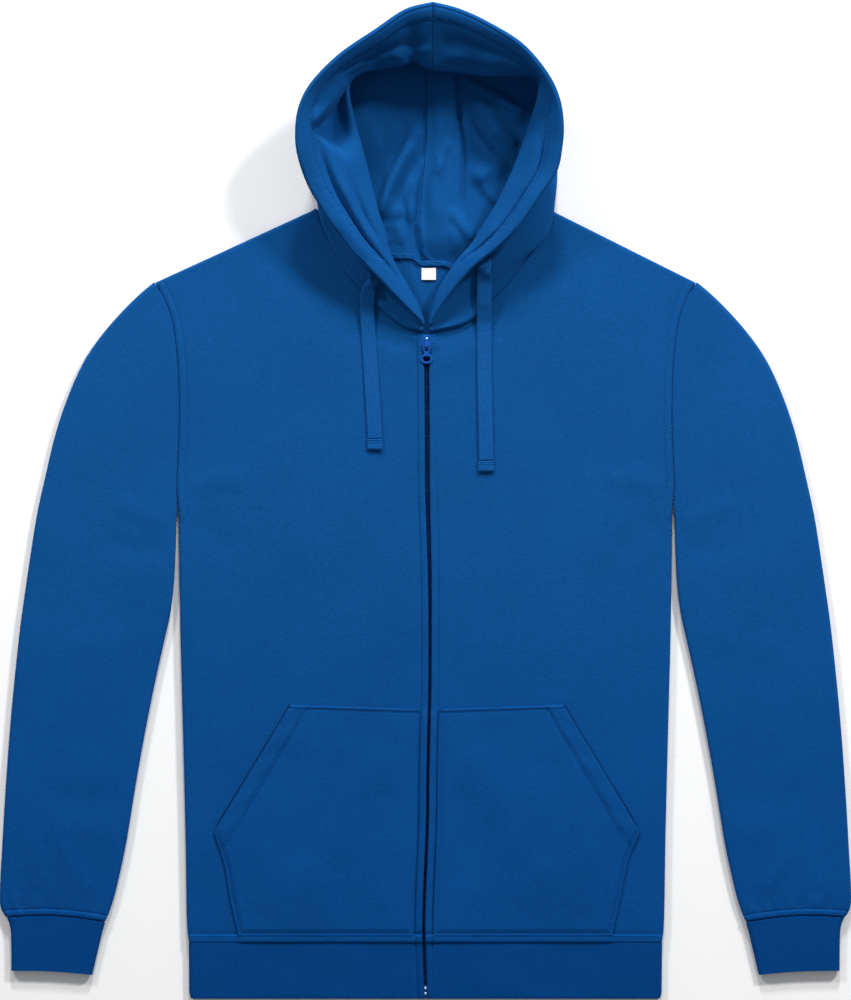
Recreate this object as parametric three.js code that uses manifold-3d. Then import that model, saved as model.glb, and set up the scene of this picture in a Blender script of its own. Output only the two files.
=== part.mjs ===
// A zip-up hoodie in heavy fleece, laid flat on its back with the hood opened towards the viewer.
// Millimetres. X runs to the right as seen, Y towards the hood, Z up from the surface it lies on.
// The origin is the middle of the plan outline, on the surface.
// Every cloth piece is a wall of even thickness about a middle surface, worked out on a grid.

import * as THREE from 'three';
import { mergeVertices } from 'three/addons/utils/BufferGeometryUtils.js';
import Module from 'manifold-3d';

const wasm = await Module();
wasm.setup();

// Cloth and layers
const cloth = 2.4;
const pocketCloth = 2.0;
const seamGap = 0.3;
const layerGap = 2.4;
const backMid = cloth / 2;
const frontMid = backMid + cloth + layerGap;
const edgeRadius = (frontMid - backMid) / 2;
const seamHeight = (frontMid + backMid) / 2;
const frontPuff = 1.4;
const puffReach = 75;

// Heights along the body
const bandTop = -394.8;
const bandBottom = -445.2;

// Zip
const slot = 2.6;
const tape = { inner: 0.5, outer: 12, low: 3.9, thick: 0.5 };
const chain = { half: 2.0, low: 4.7, thick: 2.0, top: 145.6, bottom: -432.6 };
const stop = { half: 2.2, low: 4.6, high: 7.2, top: -433.0, bottom: -445.0 };
const slider = {
  low: 2.7, plate: 0.9, topLow: 7.5, topPlate: 1.0, halfWidth: 4.4, lowerEnd: 138.2, upperEnd: 151.6,
  postHalf: 1.6, postLow: 146.4, postHigh: 150.4,
  bridgeHalf: 1.1, bridgeLow: 139.6, bridgeHigh: 149.0, bridgeRise: 3.7, bridgeBar: 1.2,
};
const pull = {
  pivotY: 141.9, pivotZ: 10.0, thick: 1.4, pinRadius: 0.7, armInner: 1.7, armOuter: 3.0, armLength: 4.6,
  eyeLength: 5.0, neckStart: 6.8,
  neckHalf: 2.2, ringCentre: -12.0, ringHalfWidth: 5.6, ringHalfLength: 4.4,
  holeHalfWidth: 3.7, holeHalfLength: 2.5, droop: 6,
};

// Ribs of the cuffs and band
const ribRise = 0.5;
const cuffRibs = 17;
const bandRibs = 32;

// The slight wander of the zip line, from the hem to the neck
const zipLine = [
  { y: -445.2, x: 0.0 },
  { y: -384.0, x: -1.6 },
  { y: -267.0, x: 1.9 },
  { y: -141.0, x: 4.0 },
  { y: -87.0, x: 4.0 },
  { y: 30.9, x: 1.6 },
  { y: 153.9, x: 1.0 },
];

// Side seam, from the band to the underarm, as a distance from the centre
const sideSeam = [
  { x: 213.2, y: -394.8 },
  { x: 215.3, y: -375.0 },
  { x: 216.5, y: -303.0 },
  { x: 218.2, y: -231.0 },
  { x: 220.1, y: -159.0 },
  { x: 221.4, y: -105.0 },
  { x: 222.6, y: -10.5 },
];

// Armhole, from the underarm to the shoulder point
const armhole = [
  { x: 222.6, y: -10.5 },
  { x: 223.6, y: 14.0 },
  { x: 222.8, y: 38.0 },
  { x: 221.6, y: 68.7 },
  { x: 221.8, y: 105.6 },
  { x: 223.7, y: 134.4 },
  { x: 227.2, y: 160.5 },
  { x: 233.8, y: 180.3 },
  { x: 243.6, y: 199.2 },
];
// Where the cap's sections meet the armhole, as shares of its length from the shoulder point
const holeShares = [0, 0.055, 0.17, 0.3, 0.44, 0.58, 0.72, 0.86, 1];

// Neck seam, one row for each of the hood's sections: the fronts from the zip to the shoulder,
// then the back from the shoulder to the middle
const frontNeck = {
  left: [
    { x: -1.6, y: 154.6 },
    { x: -24.8, y: 162.4 },
    { x: -59.0, y: 193.8 },
    { x: -74.2, y: 212.7 },
    { x: -86.0, y: 235.2 },
    { x: -95.0, y: 254.4 },
    { x: -98.6, y: 265.4 },
  ],
  right: [
    { x: 3.6, y: 154.6 },
    { x: 36.5, y: 162.4 },
    { x: 59.5, y: 183.0 },
    { x: 76.0, y: 200.5 },
    { x: 89.5, y: 219.0 },
    { x: 102.5, y: 245.0 },
    { x: 110.3, y: 265.4 },
  ],
};
const backNeck = {
  left: [
    { x: -98.6, y: 265.4 },
    { x: -90.0, y: 253.0 },
    { x: -76.0, y: 240.5 },
    { x: -65.0, y: 234.0 },
    { x: -52.0, y: 228.6 },
    { x: -35.0, y: 223.8 },
    { x: -20.0, y: 221.0 },
    { x: -7.0, y: 218.4 },
    { x: 6.5, y: 215.6 },
  ],
  right: [
    { x: 110.3, y: 265.4 },
    { x: 102.0, y: 254.6 },
    { x: 91.0, y: 242.6 },
    { x: 77.0, y: 230.0 },
    { x: 64.0, y: 220.6 },
    { x: 50.0, y: 213.4 },
    { x: 34.0, y: 210.8 },
    { x: 20.0, y: 212.4 },
    { x: 6.5, y: 215.6 },
  ],
};
const neckMiddle = { x: 6, y: 215 };

// Sleeve sections, as distances from the centre of the body. The cap's sections run from the outer
// fold to the armhole, one for each share above; the others run to the underarm seam.
const capRows = [
  { outerX: 243.6, outerY: 199.2 },
  { outerX: 257.0, outerY: 188.1 },
  { outerX: 274.0, outerY: 171.2 },
  { outerX: 291.5, outerY: 150.8 },
  { outerX: 307.0, outerY: 127.8 },
  { outerX: 320.3, outerY: 99.0 },
  { outerX: 332.6, outerY: 63.0 },
];
const sleeveRows = [
  { outerX: 343.6, outerY: 17.0, innerX: 223.1, innerY: -10.5 },
  { outerX: 349.6, outerY: -11.0, innerX: 223.7, innerY: -37.0 },
  { outerX: 354.8, outerY: -43.0, innerX: 225.3, innerY: -69.0 },
  { outerX: 359.5, outerY: -75.0, innerX: 228.5, innerY: -98.0 },
  { outerX: 364.0, outerY: -107.0, innerX: 233.5, innerY: -121.0 },
  { outerX: 369.0, outerY: -152.0, innerX: 242.0, innerY: -159.0 },
  { outerX: 373.5, outerY: -200.0, innerX: 250.5, innerY: -201.0 },
  { outerX: 377.5, outerY: -255.0, innerX: 259.5, innerY: -251.0 },
  { outerX: 380.6, outerY: -308.0, innerX: 268.5, innerY: -306.0 },
  { outerX: 382.8, outerY: -348.0, innerX: 277.7, innerY: -348.0 },
  { outerX: 382.0, outerY: -363.0, innerX: 283.0, innerY: -366.0 },
  { outerX: 377.4, outerY: -371.6, innerX: 287.2, innerY: -376.0 },
];
const cuffRows = [
  { outerX: 376.4, outerY: -372.2, innerX: 287.9, innerY: -376.6 },
  { outerX: 373.0, outerY: -385.0, innerX: 291.4, innerY: -389.0 },
  { outerX: 372.4, outerY: -420.2, innerX: 299.6, innerY: -423.8 },
];

// Pocket outlines: the slanted hand opening and the outer side run from the top to the band
const pocketRows = {
  left: [
    { x: -167.8, y: -388.4 },
    { x: -175.1, y: -356.1 },
    { x: -180.5, y: -324.6 },
    { x: -188.6, y: -299.5 },
    { x: -187.7, y: -289.5 },
    { x: -156.0, y: -236.7 },
    { x: -122.0, y: -180.2 },
  ],
  right: [
    { x: 167.8, y: -388.4 },
    { x: 176.0, y: -350.0 },
    { x: 182.2, y: -320.0 },
    { x: 190.6, y: -299.5 },
    { x: 190.3, y: -289.5 },
    { x: 158.6, y: -236.7 },
    { x: 124.7, y: -180.2 },
  ],
};
const pocketFromZip = 6.4;
const pocketTopAtZip = -184.2;

// Hood sections from the zip (first row) round the face opening to the centre seam (last row).
// rim is the free edge, fold the inner edge of the flap that falls inwards, under the turn of the
// layer below it and neck the seam. Heights are of the middle of the cloth.
const hoodRows = {
  left: [
    { rimX: -1.8, rimY: 161.2, rimZ: 16, foldX: -2.0, foldY: 161.4, foldZ: 13,
      underX: -2.1, underY: 158.4, underZ: 9.0, neckZ: 6.0 },
    { rimX: -15.7, rimY: 174.1, rimZ: 21, foldX: -9.5, foldY: 181.0, foldZ: 16,
      underX: -18.5, underY: 169.0, underZ: 10.0, neckZ: 6.0 },
    { rimX: -49.6, rimY: 208.5, rimZ: 33, foldX: -31.0, foldY: 221.0, foldZ: 19,
      underX: -49.0, underY: 200.5, underZ: 11.0, neckZ: 6.0 },
    { rimX: -67.4, rimY: 226.1, rimZ: 38, foldX: -36.0, foldY: 240.0, foldZ: 20,
      underX: -67.0, underY: 221.5, underZ: 11.5, neckZ: 6.0 },
    { rimX: -83.3, rimY: 248.1, rimZ: 43, foldX: -42.5, foldY: 260.0, foldZ: 21,
      underX: -80.0, underY: 244.0, underZ: 11.5, neckZ: 6.0 },
    { rimX: -97.5, rimY: 270.2, rimZ: 47, foldX: -48.0, foldY: 280.6, foldZ: 22,
      underX: -90.0, underY: 265.0, underZ: 10.5, neckZ: 6.0 },
    { rimX: -107.0, rimY: 288.5, rimZ: 51, foldX: -52.5, foldY: 299.0, foldZ: 23,
      underX: -99.0, underY: 286.0, underZ: 8.0, neckZ: 3.6 },
    { rimX: -114.5, rimY: 313.0, rimZ: 57, foldX: -58.5, foldY: 322.0, foldZ: 25,
      underX: -105.0, underY: 311.0, underZ: 5.6, neckZ: 1.2 },
    { rimX: -115.6, rimY: 336.0, rimZ: 60, foldX: -65.0, foldY: 346.0, foldZ: 27,
      underX: -106.0, underY: 335.0, underZ: 5.2, neckZ: 1.2 },
    { rimX: -111.0, rimY: 357.0, rimZ: 63, foldX: -69.0, foldY: 367.0, foldZ: 29,
      underX: -101.0, underY: 356.0, underZ: 5.2, neckZ: 1.2 },
    { rimX: -99.0, rimY: 376.5, rimZ: 65, foldX: -66.5, foldY: 378.5, foldZ: 30,
      underX: -91.0, underY: 373.0, underZ: 5.2, neckZ: 1.2 },
    { rimX: -75.5, rimY: 399.5, rimZ: 66, foldX: -54.5, foldY: 384.0, foldZ: 30,
      underX: -71.0, underY: 392.0, underZ: 5.2, neckZ: 1.2 },
    { rimX: -44.8, rimY: 420.7, rimZ: 66, foldX: -31.0, foldY: 390.5, foldZ: 30,
      underX: -43.0, underY: 411.5, underZ: 5.2, neckZ: 1.2 },
    { rimX: -18.0, rimY: 435.0, rimZ: 66, foldX: -11.0, foldY: 391.5, foldZ: 30,
      underX: -17.0, underY: 424.5, underZ: 5.2, neckZ: 1.2 },
    { rimX: 6.35, rimY: 444.9, rimZ: 66, foldX: 6.35, foldY: 388.0, foldZ: 30,
      underX: 6.35, underY: 432.0, underZ: 5.2, neckZ: 1.2 },
  ],
  right: [
    { rimX: 3.8, rimY: 161.2, rimZ: 16, foldX: 4.0, foldY: 161.4, foldZ: 13,
      underX: 4.1, underY: 158.4, underZ: 9.0, neckZ: 6.0 },
    { rimX: 20.2, rimY: 184.9, rimZ: 21, foldX: 12.0, foldY: 189.5, foldZ: 16,
      underX: 28.0, underY: 171.0, underZ: 10.5, neckZ: 6.0 },
    { rimX: 43.0, rimY: 211.0, rimZ: 30, foldX: 28.0, foldY: 216.0, foldZ: 19,
      underX: 52.0, underY: 198.0, underZ: 14.0, neckZ: 6.0 },
    { rimX: 64.0, rimY: 227.4, rimZ: 36, foldX: 41.0, foldY: 231.0, foldZ: 19,
      underX: 76.0, underY: 216.0, underZ: 17.0, neckZ: 6.0 },
    { rimX: 83.0, rimY: 246.0, rimZ: 42, foldX: 52.0, foldY: 248.0, foldZ: 20,
      underX: 98.0, underY: 231.0, underZ: 18.0, neckZ: 6.0 },
    { rimX: 99.5, rimY: 269.0, rimZ: 47, foldX: 64.1, foldY: 268.0, foldZ: 21,
      underX: 111.0, underY: 247.0, underZ: 17.0, neckZ: 6.0 },
    { rimX: 116.5, rimY: 294.8, rimZ: 52, foldX: 78.4, foldY: 297.0, foldZ: 23,
      underX: 116.0, underY: 281.0, underZ: 13.0, neckZ: 3.6 },
    { rimX: 121.5, rimY: 317.0, rimZ: 56, foldX: 86.0, foldY: 317.0, foldZ: 24,
      underX: 117.0, underY: 310.0, underZ: 6.2, neckZ: 1.2 },
    { rimX: 122.6, rimY: 338.0, rimZ: 60, foldX: 93.0, foldY: 337.0, foldZ: 26,
      underX: 114.0, underY: 333.0, underZ: 5.2, neckZ: 1.2 },
    { rimX: 118.8, rimY: 359.0, rimZ: 63, foldX: 98.5, foldY: 357.0, foldZ: 28,
      underX: 110.0, underY: 354.0, underZ: 5.2, neckZ: 1.2 },
    { rimX: 107.5, rimY: 382.0, rimZ: 65, foldX: 93.0, foldY: 373.0, foldZ: 29,
      underX: 99.5, underY: 375.0, underZ: 5.2, neckZ: 1.2 },
    { rimX: 86.0, rimY: 408.0, rimZ: 66, foldX: 78.0, foldY: 379.0, foldZ: 30,
      underX: 82.0, underY: 399.0, underZ: 5.2, neckZ: 1.2 },
    { rimX: 57.0, rimY: 424.0, rimZ: 66, foldX: 54.0, foldY: 381.0, foldZ: 30,
      underX: 56.0, underY: 414.0, underZ: 5.2, neckZ: 1.2 },
    { rimX: 30.0, rimY: 435.5, rimZ: 66, foldX: 28.0, foldY: 384.0, foldZ: 30,
      underX: 29.0, underY: 425.5, underZ: 5.2, neckZ: 1.2 },
    { rimX: 6.65, rimY: 444.9, rimZ: 66, foldX: 6.65, foldY: 388.0, foldZ: 30,
      underX: 6.65, underY: 432.0, underZ: 5.2, neckZ: 1.2 },
  ],
};

// Free ends of the drawcord, from under the hood's edge down the chest
const cord = { width: 13, thick: 2.0, steps: 26, clear: 0.35 };
const cordRows = {
  left: [
    { x: -45.5, y: 208.0, z: 23.0 },
    { x: -48.0, y: 202.5, z: 19.8 },
    { x: -50.0, y: 196.5, z: 17.6 },
    { x: -51.4, y: 189.0, z: 15.6 },
    { x: -52.2, y: 181.0, z: 13.2 },
    { x: -52.4, y: 171.0, z: 10.2 },
    { x: -51.2, y: 150.0, z: 9.1 },
    { x: -49.6, y: 125.0, z: 9.3 },
    { x: -48.0, y: 100.0, z: 9.7 },
    { x: -46.4, y: 75.0, z: 9.9 },
    { x: -45.6, y: 58.2, z: 9.9 },
  ],
  right: [
    { x: 52.4, y: 211.0, z: 24.0 },
    { x: 52.5, y: 205.0, z: 22.6 },
    { x: 52.6, y: 198.5, z: 20.6 },
    { x: 52.6, y: 190.0, z: 18.6 },
    { x: 52.6, y: 180.0, z: 16.0 },
    { x: 52.6, y: 170.0, z: 12.6 },
    { x: 52.6, y: 158.0, z: 9.7 },
    { x: 52.7, y: 130.0, z: 9.4 },
    { x: 53.2, y: 100.0, z: 9.8 },
    { x: 53.9, y: 70.0, z: 10.0 },
    { x: 54.4, y: 38.6, z: 9.9 },
  ],
};
const cordTipLength = 9.6;

const label = { left: -3.6, right: 9.4, top: 211.6, bottom: 200.8, low: 2.7, thick: 0.6 };
const neckTape = { from: 0.16, to: 0.86, width: 5.2, low: 2.7, thick: 0.8, steps: 14 };

const colours = {
  fleece: { color: 0x0b4a90, roughness: 0.92, metalness: 0 },
  rib: { color: 0x093f7d, roughness: 0.94, metalness: 0 },
  woven: { color: 0x1a4f96, roughness: 0.85, metalness: 0 },
  dark: { color: 0x0a1730, roughness: 0.6, metalness: 0 },
  white: { color: 0xf2f2f0, roughness: 0.7, metalness: 0 },
  paint: { color: 0x2a5ea6, roughness: 0.35, metalness: 0.4 },
};

const hoodie = new THREE.Group();

function addPiece(name, geometry, look, parent = hoodie) {
  const piece = new THREE.Mesh(geometry, new THREE.MeshStandardMaterial(colours[look]));
  piece.name = name;
  parent.add(piece);
  return piece;
}

function smooth(t) {
  const s = Math.min(1, Math.max(0, t));
  return s * s * (3 - 2 * s);
}

// A smooth curve through the rows of a table, read by arc length from 0 to 1
function curveThrough(rows) {
  const points = rows.map((row) => new THREE.Vector3(row.x, row.y, row.z ?? 0));
  const curve = new THREE.CatmullRomCurve3(points, false, 'centripetal');
  curve.arcLengthDivisions = 400;
  return curve;
}

// Two curves end to end, the first one taking the given share of the way
function joinCurves(first, second, share) {
  return (t) => (t < share ? first.getPointAt(t / share) : second.getPointAt((t - share) / (1 - share)));
}

// Catmull-Rom value of one column of evenly spaced rows
function columnAt(rows, key, t) {
  const place = t * (rows.length - 1);
  const low = Math.min(rows.length - 2, Math.floor(place));
  const f = place - low;
  const value = (k) => rows[Math.min(rows.length - 1, Math.max(0, k))][key];
  const [a, b, c, d] = [value(low - 1), value(low), value(low + 1), value(low + 2)];
  return 0.5 * (2 * b + (c - a) * f + (2 * a - 5 * b + 4 * c - d) * f * f + (3 * b - a - 3 * c + d) * f * f * f);
}

function zipAt(y) {
  const next = zipLine.findIndex((row) => row.y >= y);
  if (next <= 0) return zipLine[next === 0 ? 0 : zipLine.length - 1].x;
  const [low, high] = [zipLine[next - 1], zipLine[next]];
  return THREE.MathUtils.lerp(low.x, high.x, smooth((y - low.y) / (high.y - low.y)));
}

// Step along one direction of a grid at one of its points
function stepAt(get, index, count, closed) {
  const read = (k) => get(closed ? (k + count) % count : Math.min(count - 1, Math.max(0, k)));
  return read(index + 1).clone().sub(read(index - 1));
}

// A wall about a grid of middle points: grid[i][j], open along i, open or closed along j.
// Its outer side is where the normals point. rise(i, j) lifts outer points, normals replaces the
// measured normals, setNormal(i, j, n) turns one at a seam, and flip is for a mirrored grid.
function wall(grid, {
  thick = cloth, closed = false, rise = null, normals = null, setNormal = null, flip = false,
} = {}) {
  const rows = grid.length;
  const columns = grid[0].length;
  const positions = [];
  const at = (side, i, j) => (side * rows + i) * columns + (closed ? j % columns : j);
  const measure = (i, j) => {
    const along = stepAt((k) => grid[k][j], i, rows, false);
    const across = stepAt((k) => grid[i][k], j, columns, closed);
    const normal = along.cross(across).normalize().multiplyScalar(flip ? -1 : 1);
    if (setNormal) setNormal(i, j, normal);
    return normal;
  };
  for (const side of [1, -1]) {
    for (let i = 0; i < rows; i += 1) {
      for (let j = 0; j < columns; j += 1) {
        const normal = normals ? normals[i][j] : measure(i, j);
        const extra = side === 1 && rise ? rise(i, j) : 0;
        const point = grid[i][j].clone().addScaledVector(normal, side * (thick / 2) + extra);
        positions.push(point.x, point.y, point.z);
      }
    }
  }
  const faces = [];
  const quad = (a, b, c, d) => {
    if (flip) faces.push(a, c, b, a, d, c);
    else faces.push(a, b, c, a, c, d);
  };
  const lastColumn = closed ? columns : columns - 1;
  for (let i = 0; i < rows - 1; i += 1) {
    for (let j = 0; j < lastColumn; j += 1) {
      quad(at(0, i, j), at(0, i + 1, j), at(0, i + 1, j + 1), at(0, i, j + 1));
      quad(at(1, i, j), at(1, i, j + 1), at(1, i + 1, j + 1), at(1, i + 1, j));
    }
  }
  const rim = (i0, j0, i1, j1) => quad(at(0, i1, j1), at(0, i0, j0), at(1, i0, j0), at(1, i1, j1));
  for (let j = 0; j < lastColumn; j += 1) {
    rim(rows - 1, j, rows - 1, j + 1);
    rim(0, j + 1, 0, j);
  }
  if (!closed) {
    for (let i = 0; i < rows - 1; i += 1) {
      rim(i, 0, i + 1, 0);
      rim(i + 1, columns - 1, i, columns - 1);
    }
  }
  const geometry = new THREE.BufferGeometry();
  geometry.setAttribute('position', new THREE.Float32BufferAttribute(positions, 3));
  geometry.setIndex(faces);
  return geometry;
}

// A patch between four boundary curves, as a function of u and v from 0 to 1
function patchBetween({ bottom, top, start, end }) {
  const corners = [bottom(0), bottom(1), top(0), top(1)];
  return (u, v) => {
    const point = new THREE.Vector3();
    point.addScaledVector(bottom(u), 1 - v).addScaledVector(top(u), v);
    point.addScaledVector(start(v), 1 - u).addScaledVector(end(v), u);
    point.addScaledVector(corners[0], -(1 - u) * (1 - v)).addScaledVector(corners[1], -u * (1 - v));
    point.addScaledVector(corners[2], -(1 - u) * v).addScaledVector(corners[3], -u * v);
    return point;
  };
}

// Even steps from 0 to 1, with the last ones set close together to turn a rounded edge
function stepsTo(count, length, roundEnd) {
  const steps = Array.from({ length: count }, (_, k) => k / count);
  const last = roundEnd ? [edgeRadius, edgeRadius * 0.29, 0] : [0];
  return steps.filter((t) => (1 - t) * length > last[0] + 1).concat(last.map((d) => 1 - d / length));
}

// How far a rounded edge has dropped towards the side seam at a distance in from it
function edgeDrop(distance) {
  const inside = Math.max(0, edgeRadius - distance);
  return edgeRadius - Math.sqrt(Math.max(0, edgeRadius * edgeRadius - inside * inside));
}

function distanceToLine(point, line) {
  let best = Infinity;
  const span = new THREE.Vector3();
  const offset = new THREE.Vector3();
  for (let k = 0; k < line.length - 1; k += 1) {
    span.subVectors(line[k + 1], line[k]);
    offset.subVectors(point, line[k]);
    const t = THREE.MathUtils.clamp(offset.dot(span) / span.lengthSq(), 0, 1);
    best = Math.min(best, offset.addScaledVector(span, -t).length());
  }
  return best;
}

const inset = cloth / 2;
// Where the shoulder's rounded edge meets the armhole: the middle of the cloth lies inside the outline
const shoulderPoint = armhole[armhole.length - 1];
const shoulderSlope = 0.52;
const shoulderEnd = {
  x: shoulderPoint.x - shoulderSlope * inset - seamGap / 2,
  y: shoulderPoint.y - inset,
};
const sideShare = 0.64;
const neckShare = 0.48;

// Side seam and armhole of a body panel as one line from the band to the shoulder
function bodyEdge(side) {
  const seam = curveThrough(sideSeam.map((row) => ({ x: side * (row.x - inset), y: row.y })));
  const hole = curveThrough(armhole.map((row, k) => {
    if (k === armhole.length - 1) return { x: side * shoulderEnd.x, y: shoulderEnd.y };
    return { x: side * (row.x - (k === 0 ? inset : seamGap / 2)), y: row.y };
  }));
  return { seam, edge: joinCurves(seam, hole, sideShare) };
}

// Rows of a body panel: even ones up the side seam, then one for each section of the sleeve cap
function bodySteps(sideCount, length) {
  const side = Array.from({ length: sideCount }, (_, k) => (k / sideCount) * sideShare);
  const hole = [...holeShares].reverse().slice(0, -1).map((f) => sideShare + (1 - sideShare) * (1 - f));
  return [...side, ...hole, ...[edgeRadius, edgeRadius * 0.29, 0].map((d) => 1 - d / length)];
}

// A point at a share of the way along a line of points, with the same share for each stretch
function lineAt(points, share) {
  const place = share * (points.length - 1);
  const low = Math.min(points.length - 2, Math.floor(place));
  return points[low].clone().lerp(points[low + 1], place - low);
}

// A neck seam point moved towards the middle of the neck, or away from it
function besideNeck(row, distance) {
  const away = new THREE.Vector3(neckMiddle.x - row.x, neckMiddle.y - row.y, 0).setLength(distance);
  return away.add(new THREE.Vector3(row.x, row.y, 0));
}

// The four edges of one front, in plan. side is -1 for the left, 1 for the right.
function frontEdges(side) {
  const neckRows = side < 0 ? frontNeck.left : frontNeck.right;
  const neckPoint = neckRows[neckRows.length - 1];
  const { seam, edge } = bodyEdge(side);
  const shoulder = curveThrough([
    { x: neckPoint.x, y: neckPoint.y - inset },
    { x: side * shoulderEnd.x, y: shoulderEnd.y },
  ]);
  const neck = neckRows.map((row, k) => (k === neckRows.length - 1
    ? new THREE.Vector3(row.x, row.y - inset, 0) : besideNeck(row, -seamGap / 2)));
  const bottomY = bandTop + seamGap / 2;
  return {
    seam,
    shoulder,
    bottom: (u) => new THREE.Vector3(
      THREE.MathUtils.lerp(zipAt(bottomY) + side * slot, side * (sideSeam[0].x - inset), u), bottomY, 0),
    top: (u) => (u < neckShare ? lineAt(neck, u / neckShare)
      : shoulder.getPointAt((u - neckShare) / (1 - neckShare))),
    start: (v) => {
      const y = THREE.MathUtils.lerp(bottomY, neckRows[0].y - seamGap / 2, v);
      return new THREE.Vector3(v === 1 ? neck[0].x : zipAt(y) + side * slot, v === 1 ? neck[0].y : y, 0);
    },
    end: edge,
  };
}

const frontPlan = { left: frontEdges(-1), right: frontEdges(1) };

// Points round the edge of a front, used to let it swell only away from its seams
const frontOutline = Object.fromEntries(Object.entries(frontPlan).map(([name, edges]) => {
  const steps = Array.from({ length: 25 }, (_, k) => k / 24);
  return [name, [edges.bottom, edges.end, edges.top, edges.start].map((edge) => steps.map(edge))];
}));

// Height of the middle of a front over the surface
function frontHeight(name, point) {
  const distance = Math.min(...frontOutline[name].map((line) => distanceToLine(point, line)));
  const edges = frontPlan[name];
  const rounded = Math.min(
    distanceToLine(point, edges.seam.getSpacedPoints(24)),
    distanceToLine(point, edges.shoulder.getSpacedPoints(4)),
  );
  return frontMid + frontPuff * smooth(distance / puffReach) - edgeDrop(rounded);
}

// Fronts. Their size and the length of their side edge, which space the last steps at an edge
const halfWidth = 220;
const sideLength = 600;
for (const name of ['left', 'right']) {
  const patch = patchBetween(frontPlan[name]);
  const neckSteps = frontNeck[name].map((_, k) => (k / (frontNeck[name].length - 1)) * neckShare);
  const across = [...neckSteps, ...stepsTo(10, halfWidth, true).filter((t) => t > neckShare + 0.06)];
  const upwards = bodySteps(5, sideLength);
  const lastRow = upwards.length - 1;
  const lastColumn = across.length - 1;
  const onSide = (i, j) => j === lastColumn && upwards[i] < sideShare + 0.001;
  const onShoulder = (i, j) => i === lastRow && across[j] > neckShare - 0.01;
  const grid = upwards.map((v, i) => across.map((u, j) => {
    const point = patch(u, v);
    const rounded = onSide(i, j) || onShoulder(i, j);
    point.z = rounded ? seamHeight + seamGap / 2 : frontHeight(name, point);
    return point;
  }));
  const setNormal = (i, j, normal) => {
    const up = Math.sign(normal.z);
    if (onSide(i, j) || onShoulder(i, j)) normal.setZ(0).normalize();
    else if (i === 0 || j === 0 || i === lastRow || j === lastColumn) normal.set(0, 0, up);
  };
  addPiece(`front_${name}`, wall(grid, { setNormal }), 'fleece');
}

// Back, one panel from side to side, its middle surface flat on the floor
function backGeometry() {
  const bottomY = bandTop + seamGap / 2;
  const { seam, edge } = bodyEdge(1);
  const mirrored = (point) => point.multiply(new THREE.Vector3(-1, 1, 1));
  const shoulders = ['left', 'right'].map((name) => curveThrough([
    { x: backNeck[name][0].x, y: backNeck[name][0].y - inset },
    { x: (name === 'left' ? -1 : 1) * shoulderEnd.x, y: shoulderEnd.y },
  ]));
  const neckRows = [...backNeck.left, ...[...backNeck.right].reverse().slice(1)];
  const lastNeck = neckRows.length - 1;
  const neck = neckRows.map((row, k) => new THREE.Vector3(
    row.x, row.y - (k === 0 || k === lastNeck ? inset : seamGap / 2), 0));
  const [neckFrom, neckTo] = [0.27, 0.73];
  const top = (u) => {
    if (u < neckFrom) return shoulders[0].getPointAt(1 - u / neckFrom);
    if (u > neckTo) return shoulders[1].getPointAt((u - neckTo) / (1 - neckTo));
    return lineAt(neck, (u - neckFrom) / (neckTo - neckFrom));
  };
  const patch = patchBetween({
    bottom: (u) => new THREE.Vector3((2 * u - 1) * (sideSeam[0].x - inset), bottomY, 0),
    top,
    start: (v) => mirrored(edge(v)),
    end: edge,
  });
  const outerSteps = stepsTo(8, halfWidth, true).filter((t) => t > 0.52).map((t) => (1 + t) / 2);
  const neckSteps = neck.map((_, k) => THREE.MathUtils.lerp(neckFrom, neckTo, k / lastNeck));
  const across = [...outerSteps.map((t) => 1 - t).reverse(), ...neckSteps, ...outerSteps];
  const upwards = bodySteps(3, sideLength);
  const seamLine = seam.getSpacedPoints(24);
  const shoulderLines = shoulders.map((line) => line.getSpacedPoints(4));
  const onSide = (i, j) => (j === 0 || j === across.length - 1) && upwards[i] < sideShare + 0.001;
  const onShoulder = (i, j) => i === upwards.length - 1
    && (across[j] < neckFrom + 0.005 || across[j] > neckTo - 0.005);
  const grid = upwards.map((v, i) => across.map((u, j) => {
    const point = patch(u, v);
    const onRight = new THREE.Vector3(Math.abs(point.x), point.y, 0);
    const distance = Math.min(
      distanceToLine(onRight, seamLine), ...shoulderLines.map((line) => distanceToLine(point, line)));
    const rounded = onSide(i, j) || onShoulder(i, j);
    point.z = rounded ? seamHeight - seamGap / 2 : backMid + edgeDrop(distance);
    return point;
  }));
  const setNormal = (i, j, normal) => {
    if (onSide(i, j) || onShoulder(i, j)) normal.setZ(0).normalize();
    else if (Math.abs(grid[i][j].z - backMid) < 0.01) normal.set(0, 0, Math.sign(normal.z));
  };
  return wall(grid, { setNormal });
}
addPiece('back', backGeometry(), 'fleece');

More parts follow.
